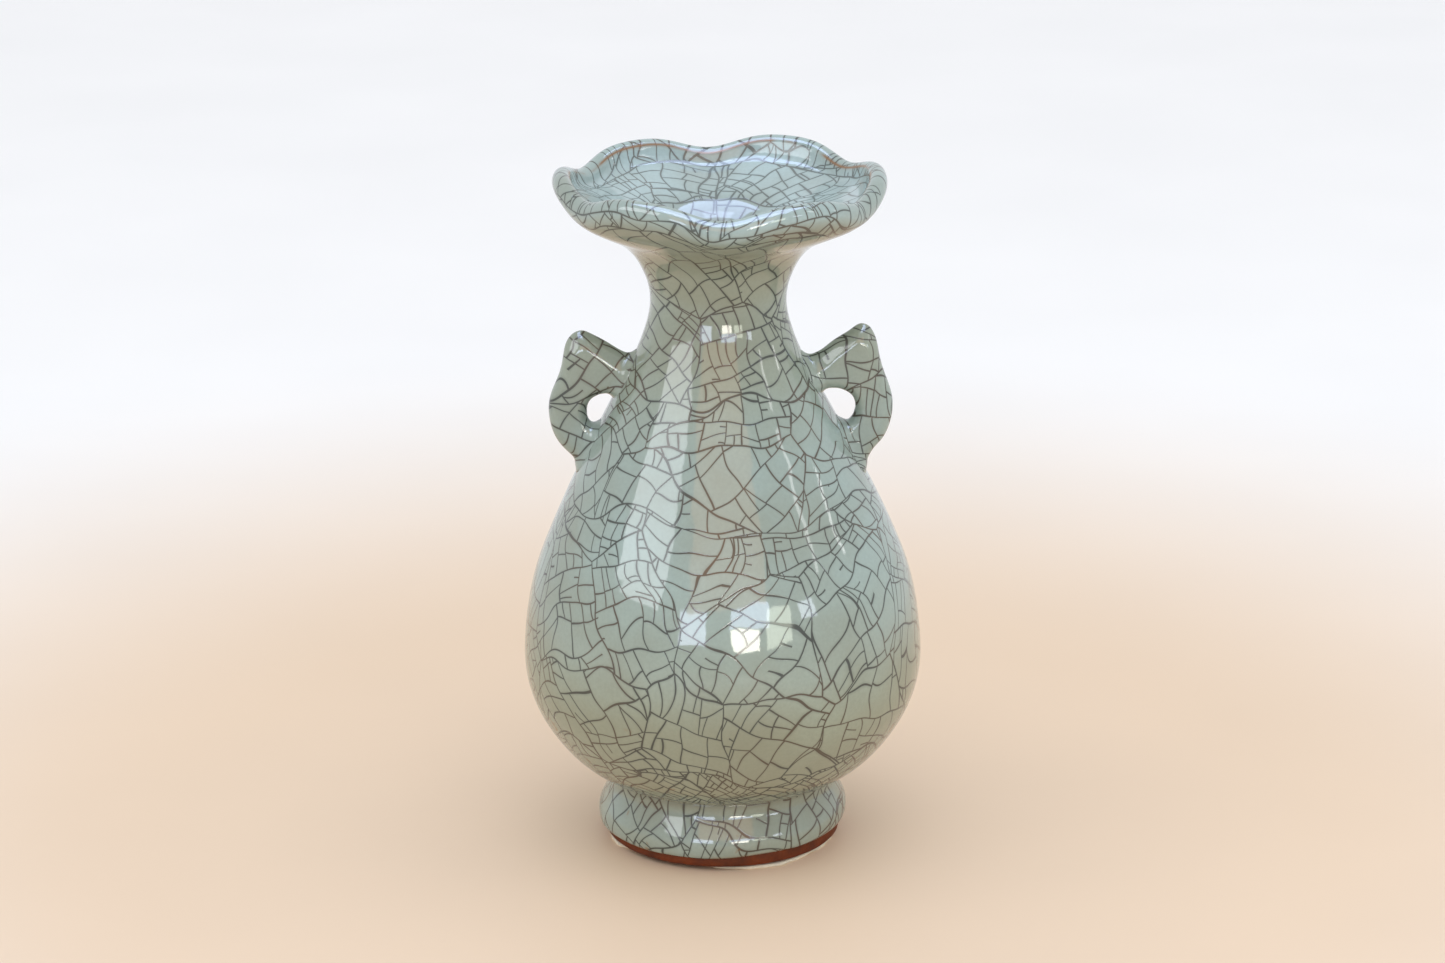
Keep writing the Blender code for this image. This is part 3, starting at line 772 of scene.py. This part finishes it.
def oldest_cracks(tree, flat, stretch, cell):
    """Distance to the oldest cracks, which bound large cells, and what chance gives to each of those.

    They are the borders of a Voronoi net. The distance is that to the line midway between the two
    nearest middles, over the length of that direction as the drawn-out map has it.
    """
    settings = {"Vector": flat, "Scale": 1.0 / (NET * cell), "Randomness": 0.85}
    first = node(tree, VORONOI, settings, voronoi_dimensions="2D", feature="F1")
    second = node(tree, VORONOI, settings, voronoi_dimensions="2D", feature="F2")
    near, far = first.outputs["Position"], second.outputs["Position"]
    halfway = node(tree, VECTOR, {0: near, 1: far}, operation="ADD")
    halfway = node(tree, VECTOR, {0: halfway, "Scale": 0.5}, operation="SCALE")
    away = node(tree, VECTOR, {0: halfway, 1: flat}, operation="SUBTRACT")
    gradient = node(tree, VECTOR, {0: far, 1: near}, operation="SUBTRACT")
    distance = node(tree, VECTOR, {0: away, 1: gradient}, operation="DOT_PRODUCT")
    seen = node(tree, VECTOR, {0: gradient, 1: stretch}, operation="MULTIPLY")
    seen = node(tree, VECTOR, {0: seen}, operation="LENGTH")
    distance = node(tree, MATH, {0: distance, 1: seen}, operation="DIVIDE")
    return distance, node(tree, SPLIT, {0: first.outputs["Color"]})


def row_cracks(tree, flat, older, ways, luck, cell):
    """Distance to the rows and their cross cracks, the middle of each brick, and its draw by chance.

    Inside a large cell, rows of uneven width run in a direction of its own. Each row is cut across
    at uneven steps of its own, so these cracks end square on a row's.
    """
    across, beside = ways
    middle = (0.0, 0.0, 0.0)
    for (way, size), width in ((beside, 0.95 * cell), (across, 1.1 * cell)):
        slid = node(tree, MATH, {0: luck, 1: 517.0}, operation="MULTIPLY")
        along = node(tree, VECTOR, {0: flat, 1: way}, operation="DOT_PRODUCT")
        along = node(tree, MATH, {0: along, 1: slid}, operation="ADD")
        settings = {"W": along, "Scale": 1.0 / width, "Randomness": 0.5}
        first = node(tree, VORONOI, settings, voronoi_dimensions="1D", feature="F1")
        second = node(tree, VORONOI, settings, voronoi_dimensions="1D", feature="F2")
        halfway = node(tree, MATH, {0: first.outputs["W"], 1: second.outputs["W"]}, operation="ADD")
        distance = node(tree, MATH, {0: halfway, 1: -0.5, 2: along}, operation="MULTIPLY_ADD")
        distance = node(tree, MATH, {0: distance}, operation="ABSOLUTE")
        distance = node(tree, MATH, {0: distance, 1: size}, operation="DIVIDE")
        older = node(tree, MATH, {0: older, 1: distance}, operation="MINIMUM")
        at = node(tree, MATH, {0: first.outputs["W"], 1: slid}, operation="SUBTRACT")
        at = node(tree, VECTOR, {0: way, "Scale": at}, operation="SCALE")
        middle = node(tree, VECTOR, {0: at, 1: middle}, operation="ADD")
        luck = node(tree, SPLIT, {0: first.outputs["Color"]}).outputs[0]
    return older, middle, luck


def late_cracks(tree, flat, ways, middle, luck, cuts):
    """Distance to the late cracks, which cut the bricks.

    Each brick is cut by a curved, slightly tilted line near its middle, each half once more square
    to that, and so on. The share of cuts adds to the chance of each one.
    """
    newer = FAR
    side = 0.0
    for turn, (reach, rarity, bow, tilt) in enumerate(LATE_CRACKS):
        (way, size), (other, _) = ways if turn % 2 == 0 else ways[::-1]
        seed = node(tree, MATH, {0: luck, 1: 913.0}, operation="MULTIPLY")
        seed = node(tree, JOIN, {0: seed, 1: side})
        draws = node(tree, "ShaderNodeTexWhiteNoise", {"Vector": seed}, noise_dimensions="2D")
        draws = node(tree, SPLIT, {0: draws.outputs["Color"]})
        luck = draws.outputs[0]
        away = node(tree, VECTOR, {0: flat, 1: middle}, operation="SUBTRACT")
        cut = node(tree, VECTOR, {0: away, 1: way}, operation="DOT_PRODUCT")
        along = node(tree, VECTOR, {0: away, 1: other}, operation="DOT_PRODUCT")
        curve = node(tree, MATH, {0: draws.outputs[1], 1: bow, 2: -0.5 * bow}, operation="MULTIPLY_ADD")
        curve = node(tree, MATH, {0: curve, 1: along}, operation="MULTIPLY")
        lean = node(tree, MATH, {0: draws.outputs[2], 1: tilt, 2: -0.5 * tilt}, operation="MULTIPLY_ADD")
        lean = node(tree, MATH, {0: lean, 1: curve}, operation="ADD")
        cut = node(tree, MATH, {0: lean, 1: along, 2: cut}, operation="MULTIPLY_ADD")
        rare = node(tree, MATH, {0: rarity, 1: cuts}, operation="SUBTRACT")
        kept = node(tree, MATH, {0: luck, 1: rare}, operation="GREATER_THAN")
        side = node(tree, MATH, {0: cut}, operation="SIGN")
        side = node(tree, MATH, {0: side, 1: kept}, operation="MULTIPLY")
        distance = node(tree, MATH, {0: cut}, operation="ABSOLUTE")
        distance = node(tree, MATH, {0: distance, 1: size}, operation="DIVIDE")
        distance = node(tree, MATH, {0: kept, 1: -FAR, 2: distance}, operation="MULTIPLY_ADD")
        distance = node(tree, MATH, {0: distance, 1: FAR}, operation="ADD")
        newer = node(tree, MATH, {0: distance, 1: newer}, operation="MINIMUM")
        # The next cut runs near the middle of this half, moved along by chance.
        half = node(tree, MATH, {0: side, 1: reach}, operation="MULTIPLY")
        half = node(tree, VECTOR, {0: way, "Scale": half}, operation="SCALE")
        middle = node(tree, VECTOR, {0: middle, 1: half}, operation="ADD")
        moved = node(tree, MATH, {0: draws.outputs[1], 1: 1.8, 2: -0.9}, operation="MULTIPLY_ADD")
        moved = node(tree, MATH, {0: moved, 1: kept}, operation="MULTIPLY")
        moved = node(tree, VECTOR, {0: other, "Scale": moved}, operation="SCALE")
        middle = node(tree, VECTOR, {0: middle, 1: moved}, operation="ADD")
    return newer


def nearest_crack(tree, sizes, skin, place_mm, placed):
    """Distance in millimetres from a point to the nearest crack of any age, or to a zone's border."""
    cell = sizes.cell / MM
    radius = node(tree, VECTOR, {0: place_mm, 1: (1.0, 1.0, 0.0)}, operation="MULTIPLY")
    radius = node(tree, VECTOR, {0: radius}, operation="LENGTH")
    radius = node(tree, MATH, {0: radius, 1: 2.0}, operation="MAXIMUM")
    bend = crack_bend(tree, place_mm, radius)
    flat, stretch, real, cuts, border = crackle_map(tree, skin, place_mm, placed, radius, bend)
    older, chance = oldest_cracks(tree, flat, stretch, cell)

    # Two directions square to each other in each large cell, and their lengths on the drawn-out map.
    turn = node(tree, MATH, {0: chance.outputs[0], 1: 2.0 * math.pi}, operation="MULTIPLY")
    cosine = node(tree, MATH, {0: turn}, operation="COSINE")
    sine = node(tree, MATH, {0: turn}, operation="SINE")
    minus = node(tree, MATH, {0: sine, 1: -1.0}, operation="MULTIPLY")
    ways = []
    for way in (node(tree, JOIN, {0: cosine, 1: sine}), node(tree, JOIN, {0: minus, 1: cosine})):
        size = node(tree, VECTOR, {0: way, 1: stretch}, operation="MULTIPLY")
        ways.append((way, node(tree, VECTOR, {0: size}, operation="LENGTH")))

    older, middle, luck = row_cracks(tree, flat, older, ways, chance.outputs[1], cell)
    newer = late_cracks(tree, flat, ways, middle, luck, cuts)
    newer = node(tree, MATH, {0: newer, 1: 0.03}, operation="ADD")
    nearest = node(tree, MATH, {0: older, 1: newer}, operation="MINIMUM")
    nearest = node(tree, MATH, {0: nearest, 1: real}, operation="MULTIPLY")
    return node(tree, MATH, {0: nearest, 1: border}, operation="MINIMUM")


def glaze_colour(tree, colours, skin, place_mm, climb):
    """Colour of the glaze without its cracks, and the share of rim glaze.

    Cool glaze goes by height; where there is none, low on the belly, the plain glaze is a painted reflection
    of a warm floor.
    Rim glaze goes by the climb over the lip and into the dish. Thick glaze lies in clouds 30 mm apart, and
    the same colour is painted shade in the groove over the foot and under the lip. A fine grain of 1 mm is on
    all.
    """
    low = node(tree, SPLIT, {0: place_mm}).outputs[2]
    # Cool share by height; where it is none, low on the belly, the plain glaze is a painted reflection of a
    # warm floor.
    cool = node(tree, MATH, {0: low, 1: 1.0 / POT_HEIGHT}, operation="MULTIPLY")
    cool = node(tree, "ShaderNodeValToRGB", {0: cool})
    stops = cool.color_ramp.elements
    for position, _ in TONE_AND_REFLECTION_HEIGHTS[1:-1]:
        stops.new(position)
    for stop, (position, share) in zip(stops, TONE_AND_REFLECTION_HEIGHTS):
        stop.position, stop.color = position, (share, share, share, 1.0)
    tone = node(tree, MIX, {0: cool, 6: (*colours.glaze, 1.0), 7: (*colours.glaze_cool, 1.0)},
                data_type="RGBA")

    first, last = skin.lip
    under_lip, over_lip, in_dish, down_dish = (float(skin.climb[row])
                                               for row in (first - 4, first + 6, last - 3, last + 6))
    lip = node(tree, MAP, {"Value": climb, "From Min": under_lip, "From Max": over_lip, "To Max": 0.35})
    dish = node(tree, MAP, {"Value": climb, "From Min": in_dish, "From Max": down_dish, "To Max": 0.65})
    rim = node(tree, MATH, {0: lip, 1: dish}, operation="ADD")
    at_mouth = node(tree, MATH, {0: low, 1: 160.0}, operation="GREATER_THAN")
    rim = node(tree, MATH, {0: rim, 1: at_mouth}, operation="MULTIPLY")
    tone = node(tree, MIX, {0: rim, 6: tone.outputs[2], 7: (*colours.glaze_rim, 1.0)}, data_type="RGBA")
    grain = node(tree, NOISE, {"Vector": place_mm, "Scale": 1.1, "Detail": 1.0})
    grain = node(tree, MAP, {"Value": grain, "From Min": 0.3, "From Max": 0.7,
                             "To Min": 0.96, "To Max": 1.035})
    tone = node(tree, VECTOR, {0: tone.outputs[2], "Scale": grain}, operation="SCALE")

    cloud = node(tree, NOISE, {"Vector": place_mm, "Scale": 1.0 / 30.0, "Detail": 3.0})
    cloud = node(tree, MAP, {"Value": cloud, "From Min": 0.35, "From Max": 0.7,
                             "To Min": 0.0, "To Max": 0.55})
    # Painted shade: the glaze darkens towards the groove over the foot, in the thick glaze's colour.
    groove = node(tree, MAP, {"Value": low, "From Min": 19.0, "From Max": 27.0, "To Min": 0.9, "To Max": 0.0},
                  interpolation_type="SMOOTHSTEP")
    over_foot = node(tree, MAP, {"Value": low, "From Min": 16.0, "From Max": 19.5})
    groove = node(tree, MATH, {0: groove, 1: over_foot}, operation="MULTIPLY")
    # Painted shade under the lip: darkest on the mouth's underside, fading down the neck and out onto the
    # lip.
    under = node(tree, MAP, {"Value": climb, "From Min": under_lip, "From Max": over_lip,
                             "To Min": 1.0, "To Max": 0.0})
    shaded = node(tree, MAP, {"Value": low, "From Min": 158.0, "From Max": 172.0, "To Max": 0.8})
    under = node(tree, MATH, {0: under, 1: shaded}, operation="MULTIPLY")
    # Thick glaze in clouds, joined by the painted shade in the groove and under the lip.
    thick = node(tree, MATH, {0: cloud, 1: groove}, operation="MAXIMUM")
    thick = node(tree, MATH, {0: thick, 1: under}, operation="MAXIMUM")
    tone = node(tree, MIX, {0: thick, 6: tone, 7: (*colours.glaze_thick_and_shade, 1.0)}, data_type="RGBA")
    return tone, rim


def celadon_glaze(sizes, colours, skin):
    """Celadon: a thick, glassy, iron-bearing glaze over stoneware, crazed as it cooled and rubbed with ink.

    It gives the eye a soft grey-green with a sharp gloss, and a net of stained cracks.
    """
    made, tree, shader = new_material("celadon glaze")
    placed = node(tree, "ShaderNodeAttribute", attribute_name="crackle_at").outputs["Vector"]
    worn = node(tree, "ShaderNodeAttribute", attribute_name="worn_edge").outputs["Fac"]
    place_mm = place_in_mm(tree)
    climb = node(tree, SPLIT, {0: placed}).outputs[1]

    # A crack's width varies along it. Its ink has soaked a little into the glaze on both sides.
    nearest = nearest_crack(tree, sizes, skin, place_mm, placed)
    vary = node(tree, NOISE, {"Vector": place_mm, "Scale": 1.0 / 7.0, "Detail": 2.0})
    reach = node(tree, MATH, {0: vary, 1: 0.14, 2: 0.5 * sizes.crack / MM - 0.07}, operation="MULTIPLY_ADD")
    fade = node(tree, MATH, {0: reach, 1: 0.12}, operation="ADD")
    crack = node(tree, MAP, {"Value": nearest, "From Min": reach, "From Max": fade,
                             "To Min": 1.0, "To Max": 0.0},
                 interpolation_type="SMOOTHSTEP")
    halo = node(tree, MAP, {"Value": nearest, "From Min": 0.1, "From Max": 0.8, "To Min": 0.2, "To Max": 0.0},
                interpolation_type="SMOOTHSTEP")

    # The ink is black in places and rusty in others, 22 mm apart, and paler under the rim's glaze.
    tone, rim = glaze_colour(tree, colours, skin, place_mm, climb)
    stain = node(tree, NOISE, {"Vector": place_mm, "Scale": 1.0 / 22.0, "Detail": 1.0})
    stain = node(tree, MAP, {"Value": stain, "From Min": 0.46, "From Max": 0.66},
                 interpolation_type="SMOOTHSTEP")
    ink = node(tree, MIX, {0: stain, 6: (*colours.crack_dark, 1.0), 7: (*colours.crack_red, 1.0)},
               data_type="RGBA")
    tone = node(tree, MIX, {0: halo, 6: tone.outputs[2], 7: ink.outputs[2]}, data_type="RGBA")
    strength = node(tree, MATH, {0: rim, 1: -0.3, 2: 0.92}, operation="MULTIPLY_ADD")
    strength = node(tree, MATH, {0: crack, 1: strength}, operation="MULTIPLY")
    tone = node(tree, MIX, {0: strength, 6: tone.outputs[2], 7: ink.outputs[2]}, data_type="RGBA")

    # Iron spots of 1 to 3 mm on the lower belly.
    low = node(tree, SPLIT, {0: place_mm}).outputs[2]
    spots = node(tree, NOISE, {"Vector": place_mm, "Scale": 1.0 / 9.0, "Detail": 3.0, "Roughness": 0.65})
    spots = node(tree, MAP, {"Value": spots, "From Min": 0.66, "From Max": 0.74},
                 interpolation_type="SMOOTHSTEP")
    belly = node(tree, MAP, {"Value": low, "From Min": 30.0, "From Max": 60.0, "To Min": 0.75, "To Max": 0.0})
    spots = node(tree, MATH, {0: spots, 1: belly}, operation="MULTIPLY")
    tone = node(tree, MIX, {0: spots, 6: tone.outputs[2], 7: (*colours.worn, 1.0)}, data_type="RGBA")

    # Thin glaze on the inner edge of the lip and at the foot is worn through in places.
    patchy = node(tree, NOISE, {"Vector": place_mm, "Scale": 1.0 / 14.0, "Detail": 2.0})
    patchy = node(tree, MAP, {"Value": patchy, "From Min": 0.4, "From Max": 0.55},
                  interpolation_type="SMOOTHSTEP")
    patchy = node(tree, MATH, {0: patchy, 1: worn}, operation="MULTIPLY")
    tone = node(tree, MIX, {0: patchy, 6: tone.outputs[2], 7: (*colours.worn, 1.0)}, data_type="RGBA")

    # The surface ripples at 11 mm, is faintly pitted, and dips by a hundredth of a millimetre at a crack.
    ripple = node(tree, NOISE, {"Vector": place_mm, "Scale": 1.0 / 11.0, "Detail": 1.0})
    ripple = node(tree, MATH, {0: ripple, 1: 0.2}, operation="MULTIPLY")
    pits = node(tree, NOISE, {"Vector": place_mm, "Scale": 1.0 / 2.2, "Detail": 1.0})
    height = node(tree, MATH, {0: pits, 1: 0.010, 2: ripple}, operation="MULTIPLY_ADD")
    height = node(tree, MATH, {0: crack, 1: -0.012, 2: height}, operation="MULTIPLY_ADD")
    bump = node(tree, "ShaderNodeBump", {"Strength": 1.0, "Distance": MM, "Height": height})
    gloss = node(tree, MATH, {0: crack, 1: 0.06, 2: 0.05}, operation="MULTIPLY_ADD")
    gloss = node(tree, MATH, {0: patchy, 1: 0.25, 2: gloss}, operation="MULTIPLY_ADD")
    tree.links.new(tone.outputs[2], shader.inputs["Base Color"])
    tree.links.new(gloss.outputs[0], shader.inputs["Roughness"])
    tree.links.new(bump.outputs[0], shader.inputs["Normal"])
    shader.inputs["IOR"].default_value = 1.52
    return made


def iron_stoneware(colours):
    """Iron-rich stoneware, bare and wiped with a sponge: matt red-brown, scorched in patches, gritty."""
    made, tree, shader = new_material("iron stoneware")
    place_mm = place_in_mm(tree)
    patch = node(tree, NOISE, {"Vector": place_mm, "Scale": 1.0 / 8.0, "Detail": 4.0, "Roughness": 0.6})
    patch = node(tree, MAP, {"Value": patch, "From Min": 0.4, "From Max": 0.66})
    tone = node(tree, MIX, {0: patch, 6: (*colours.clay, 1.0), 7: (*colours.clay_dark, 1.0)},
                data_type="RGBA")
    grit = node(tree, NOISE, {"Vector": place_mm, "Scale": 1.6, "Detail": 3.0, "Roughness": 0.7})
    speck = node(tree, MAP, {"Value": grit, "From Min": 0.62, "From Max": 0.72, "To Max": 0.5})
    tone = node(tree, MIX, {0: speck, 6: tone, 7: (*colours.clay_dark, 1.0)}, data_type="RGBA")
    bump = node(tree, "ShaderNodeBump", {"Strength": 0.7, "Distance": 0.12 * MM, "Height": grit})
    rough = node(tree, MAP, {"Value": grit, "From Min": 0.3, "From Max": 0.7, "To Min": 0.62, "To Max": 0.85})
    tree.links.new(tone.outputs[2], shader.inputs["Base Color"])
    tree.links.new(rough.outputs[0], shader.inputs["Roughness"])
    tree.links.new(bump.outputs[0], shader.inputs["Normal"])
    shader.inputs["IOR"].default_value = 1.3
    return made


def pulp_board(colours):
    """Pulp board, torn to size: soft, matt and fibrous, cream with paler fibres at the torn edge."""
    made, tree, shader = new_material("pulp board")
    place_mm = place_in_mm(tree)
    fibres = node(tree, NOISE, {"Vector": place_mm, "Scale": 0.9, "Detail": 5.0, "Roughness": 0.65,
                                "Distortion": 1.2})
    mottle = node(tree, NOISE, {"Vector": place_mm, "Scale": 1.0 / 6.0, "Detail": 2.0})
    shade = node(tree, MATH, {0: fibres, 1: mottle}, operation="MULTIPLY")
    shade = node(tree, MAP, {"Value": shade, "From Min": 0.12, "From Max": 0.4,
                             "To Min": 0.8, "To Max": 1.04})
    tone = node(tree, VECTOR, {0: tuple(colours.pad), "Scale": shade}, operation="SCALE")
    bump = node(tree, "ShaderNodeBump", {"Strength": 0.8, "Distance": 0.15 * MM, "Height": fibres})
    tree.links.new(tone.outputs[0], shader.inputs["Base Color"])
    tree.links.new(bump.outputs[0], shader.inputs["Normal"])
    shader.inputs["Roughness"].default_value = 0.92
    return made


def pale_floor(colours):
    """Sealed pale board: matt, plain, with a faint cloud so that it isn't a flat colour."""
    made, tree, shader = new_material("pale floor")
    place_m = node(tree, "ShaderNodeTexCoord").outputs["Object"]
    cloud = node(tree, NOISE, {"Vector": place_m, "Scale": 9.0, "Detail": 2.0})
    shade = node(tree, MAP, {"Value": cloud, "From Min": 0.3, "From Max": 0.7,
                             "To Min": 0.985, "To Max": 1.015})
    away = node(tree, VECTOR, {0: place_m}, operation="LENGTH")
    away = node(tree, MAP, {"Value": away, "From Min": 0.16, "From Max": 0.5},
                interpolation_type="SMOOTHSTEP")
    tone = node(tree, MIX, {0: away, 6: (*colours.floor, 1.0), 7: (*colours.floor_far, 1.0)},
                data_type="RGBA")
    tone = node(tree, VECTOR, {0: tone, "Scale": shade}, operation="SCALE")
    tree.links.new(tone.outputs[0], shader.inputs["Base Color"])
    shader.inputs["Roughness"].default_value = 0.6
    return made


def glaze_of(scene):
    """The pot's skin and the glaze, which needs to know where the skin's zones are."""
    skin = Skin(scene.vase_sizes)
    return skin, material_of("celadon glaze", celadon_glaze, scene.vase_sizes, scene.vase_colours, skin)


def material_of(name, make, *settings):
    """The named material, made the first time it is asked for."""
    return bpy.data.materials.get(name) or make(*settings)


# --------------------------------------------------------------------------- stage

# Cards and broad lights round the vase: name, azimuth and elevation of the middle seen from the vase,
# width and height as angles, radiance, tint, and whether only the gloss sees it. Azimuth is in
# degrees from the front, to the right. The five panes stand for a window, and the gloss shows them
# on the belly, the neck and the foot.
CARDS = (
    ("sky_left", -56.0, 29.0, 38.0, 24.0, 4.9, "#F6FAFF", True),
    ("pane_1", -17.0, 11.5, 17.0, 16.0, 9.0, "#DCE8FF", True),
    ("pane_2", 16.5, 16.5, 23.0, 7.0, 8.5, "#D6E4FF", True),
    ("pane_3", 14.0, 7.5, 15.0, 10.0, 17.0, "#FFFBEF", True),
    ("pane_4", 33.0, 10.0, 14.0, 14.0, 7.0, "#EFF6E2", True),
    ("pane_5", 52.0, 14.0, 9.0, 6.0, 8.0, "#E4EEFF", True),
    ("warm_front", 3.0, 32.0, 52.0, 24.0, 2.1, "#DC9448", True),
    ("edge_right", 66.0, 27.0, 3.0, 14.0, 5.0, "#FFFFFF", True),
    ("edge_far", 90.0, 19.0, 2.5, 8.0, 6.0, "#FFFFFF", True),
    ("sky_over", 0.0, 64.0, 66.0, 26.0, 4.5, "#CFE0FF", True),
    ("sky_top", 0.0, 82.0, 152.0, 46.0, 9.0, "#BED2FF", True),
    ("soft_front", 10.0, 52.0, 60.0, 40.0, 1.0, "#F4F8FF", False),
    ("soft_right", 80.0, 38.0, 50.0, 40.0, 0.8, "#F4F8FF", False),
    ("soft_left", -75.0, 38.0, 50.0, 40.0, 0.8, "#F4F8FF", False),
)
CARD_DISTANCE = 0.9
CARD_MIDDLE = (0.0, 0.0, 0.08)
FLOOR_COLUMNS = 96
SENSOR = 36.0


def card(name, azimuth, elevation, wide, tall, radiance, tint, gloss_only, stage):
    """An area light on a sphere about the vase, facing it. Power is radiance times pi times area."""
    turn, tilt = math.radians(azimuth), math.radians(elevation)
    light = bpy.data.lights.new(name, "AREA")
    light.shape = "RECTANGLE"
    light.size = 2.0 * CARD_DISTANCE * math.tan(math.radians(wide) / 2.0) * math.cos(tilt)
    light.size_y = 2.0 * CARD_DISTANCE * math.tan(math.radians(tall) / 2.0)
    radiance = radiance * (stage.gloss if gloss_only else stage.soft)
    light.energy = radiance * math.pi * light.size * light.size_y
    light.color = linear(tint)
    item = bpy.data.objects.new(name, light)
    bpy.context.scene.collection.objects.link(item)
    away = np.array([math.cos(tilt) * math.sin(turn), -math.cos(tilt) * math.cos(turn), math.sin(tilt)])
    item.location = np.array(CARD_MIDDLE) + CARD_DISTANCE * away
    item.rotation_euler = (math.pi / 2.0 - tilt, 0.0, turn)
    item.visible_camera = False
    item.visible_diffuse = not gloss_only
    item.visible_glossy = gloss_only


def build_stage(stage, colours):
    """The floor as one disc, the pale surroundings, the cards, and the camera that looks down a little."""
    scene = bpy.context.scene
    angle = np.arange(FLOOR_COLUMNS) * 2.0 * math.pi / FLOOR_COLUMNS
    ring = np.stack([stage.floor * np.cos(angle), stage.floor * np.sin(angle), 0.0 * angle], axis=-1)
    mesh = bpy.data.meshes.new("floor")
    mesh.from_pydata(ring.tolist(), [], [list(range(FLOOR_COLUMNS))])
    mesh.materials.append(material_of("pale floor", pale_floor, colours))
    floor = bpy.data.objects.new("floor", mesh)
    scene.collection.objects.link(floor)

    world = bpy.data.worlds.new("pale room")
    world.use_nodes = True
    background = world.node_tree.nodes["Background"]
    background.inputs["Color"].default_value = (*colours.sky, 1.0)
    background.inputs["Strength"].default_value = stage.surroundings
    scene.world = world
    for row in CARDS:
        card(*row, stage)

    lens = bpy.data.cameras.new("camera")
    lens.lens = stage.lens
    lens.sensor_width = SENSOR
    lens.clip_start = 0.01
    lens.clip_end = 20.0
    camera = bpy.data.objects.new("camera", lens)
    scene.collection.objects.link(camera)
    camera.location = (0.0, -stage.back, stage.height)
    camera.rotation_euler = (math.pi / 2.0 - stage.dip, 0.0, 0.0)
    scene.camera = camera
    scene.view_settings.view_transform = "Standard"


# --------------------------------------------------------------------------- operators

class VASE_OT_body(bpy.types.Operator):
    """Builds the glazed belly, neck and lobed mouth"""
    bl_idname = "bud_vase.body"
    bl_label = "Body and mouth"

    def execute(self, context):
        scene = context.scene
        skin, glaze = glaze_of(scene)
        build_body(skin, glaze)
        return {"FINISHED"}


class VASE_OT_foot(bpy.types.Operator):
    """Builds the glazed band of the foot and the bare clay ring under it"""
    bl_idname = "bud_vase.foot"
    bl_label = "Foot ring"

    def execute(self, context):
        scene = context.scene
        _, glaze = glaze_of(scene)
        clay = material_of("iron stoneware", iron_stoneware, scene.vase_colours)
        build_foot(scene.vase_sizes, glaze, clay)
        return {"FINISHED"}


class VASE_OT_handles(bpy.types.Operator):
    """Builds the two pierced ear handles"""
    bl_idname = "bud_vase.handles"
    bl_label = "Ear handles"

    def execute(self, context):
        scene = context.scene
        sizes = scene.vase_sizes
        skin, glaze = glaze_of(scene)
        build_ear("glazed_handle_left", "handle_left", -1.0, LEFT_OUTER, LEFT_INNER, sizes, skin, glaze)
        build_ear("glazed_handle_right", "handle_right", 1.0, RIGHT_OUTER, RIGHT_INNER, sizes, skin, glaze)
        return {"FINISHED"}


class VASE_OT_pad(bpy.types.Operator):
    """Builds the torn paper pad under the foot"""
    bl_idname = "bud_vase.pad"
    bl_label = "Paper pad"

    def execute(self, context):
        scene = context.scene
        build_pad(scene.vase_sizes, material_of("pulp board", pulp_board, scene.vase_colours))
        return {"FINISHED"}


class VASE_OT_stage(bpy.types.Operator):
    """Lays the floor, sets the lights and places the camera"""
    bl_idname = "bud_vase.stage"
    bl_label = "Floor, lights and camera"

    def execute(self, context):
        build_stage(context.scene.vase_stage, context.scene.vase_colours)
        return {"FINISHED"}


class VASE_PT_panel(bpy.types.Panel):
    """Sizes, colours and building steps of the bud vase"""
    bl_idname = "VASE_PT_panel"
    bl_label = "Celadon Bud Vase"
    bl_space_type = "VIEW_3D"
    bl_region_type = "UI"
    bl_category = "Vase"

    def draw(self, context):
        for group in (context.scene.vase_sizes, context.scene.vase_colours, context.scene.vase_stage):
            box = self.layout.box()
            for key in group.__annotations__:
                box.prop(group, key)
        for step in STEPS:
            self.layout.operator(step.bl_idname)


STEPS = (VASE_OT_body, VASE_OT_foot, VASE_OT_handles, VASE_OT_pad, VASE_OT_stage)
GROUPS = {"vase_sizes": VaseSizes, "vase_colours": VaseColours, "vase_stage": StageSizes}


def register():
    """Registers the classes and hangs their settings on the scene."""
    for cls in (*GROUPS.values(), *STEPS, VASE_PT_panel):
        bpy.utils.register_class(cls)
    for key, cls in GROUPS.items():
        setattr(bpy.types.Scene, key, PointerProperty(type=cls))


def unregister():
    """Takes the settings and the classes away again."""
    for key in GROUPS:
        delattr(bpy.types.Scene, key)
    for cls in reversed((*GROUPS.values(), *STEPS, VASE_PT_panel)):
        bpy.utils.unregister_class(cls)


def main():
    """Builds the vase and its stage."""
    register()
    bpy.ops.bud_vase.body()
    bpy.ops.bud_vase.foot()
    bpy.ops.bud_vase.handles()
    bpy.ops.bud_vase.pad()
    bpy.ops.bud_vase.stage()


if __name__ == "__main__":
    main()
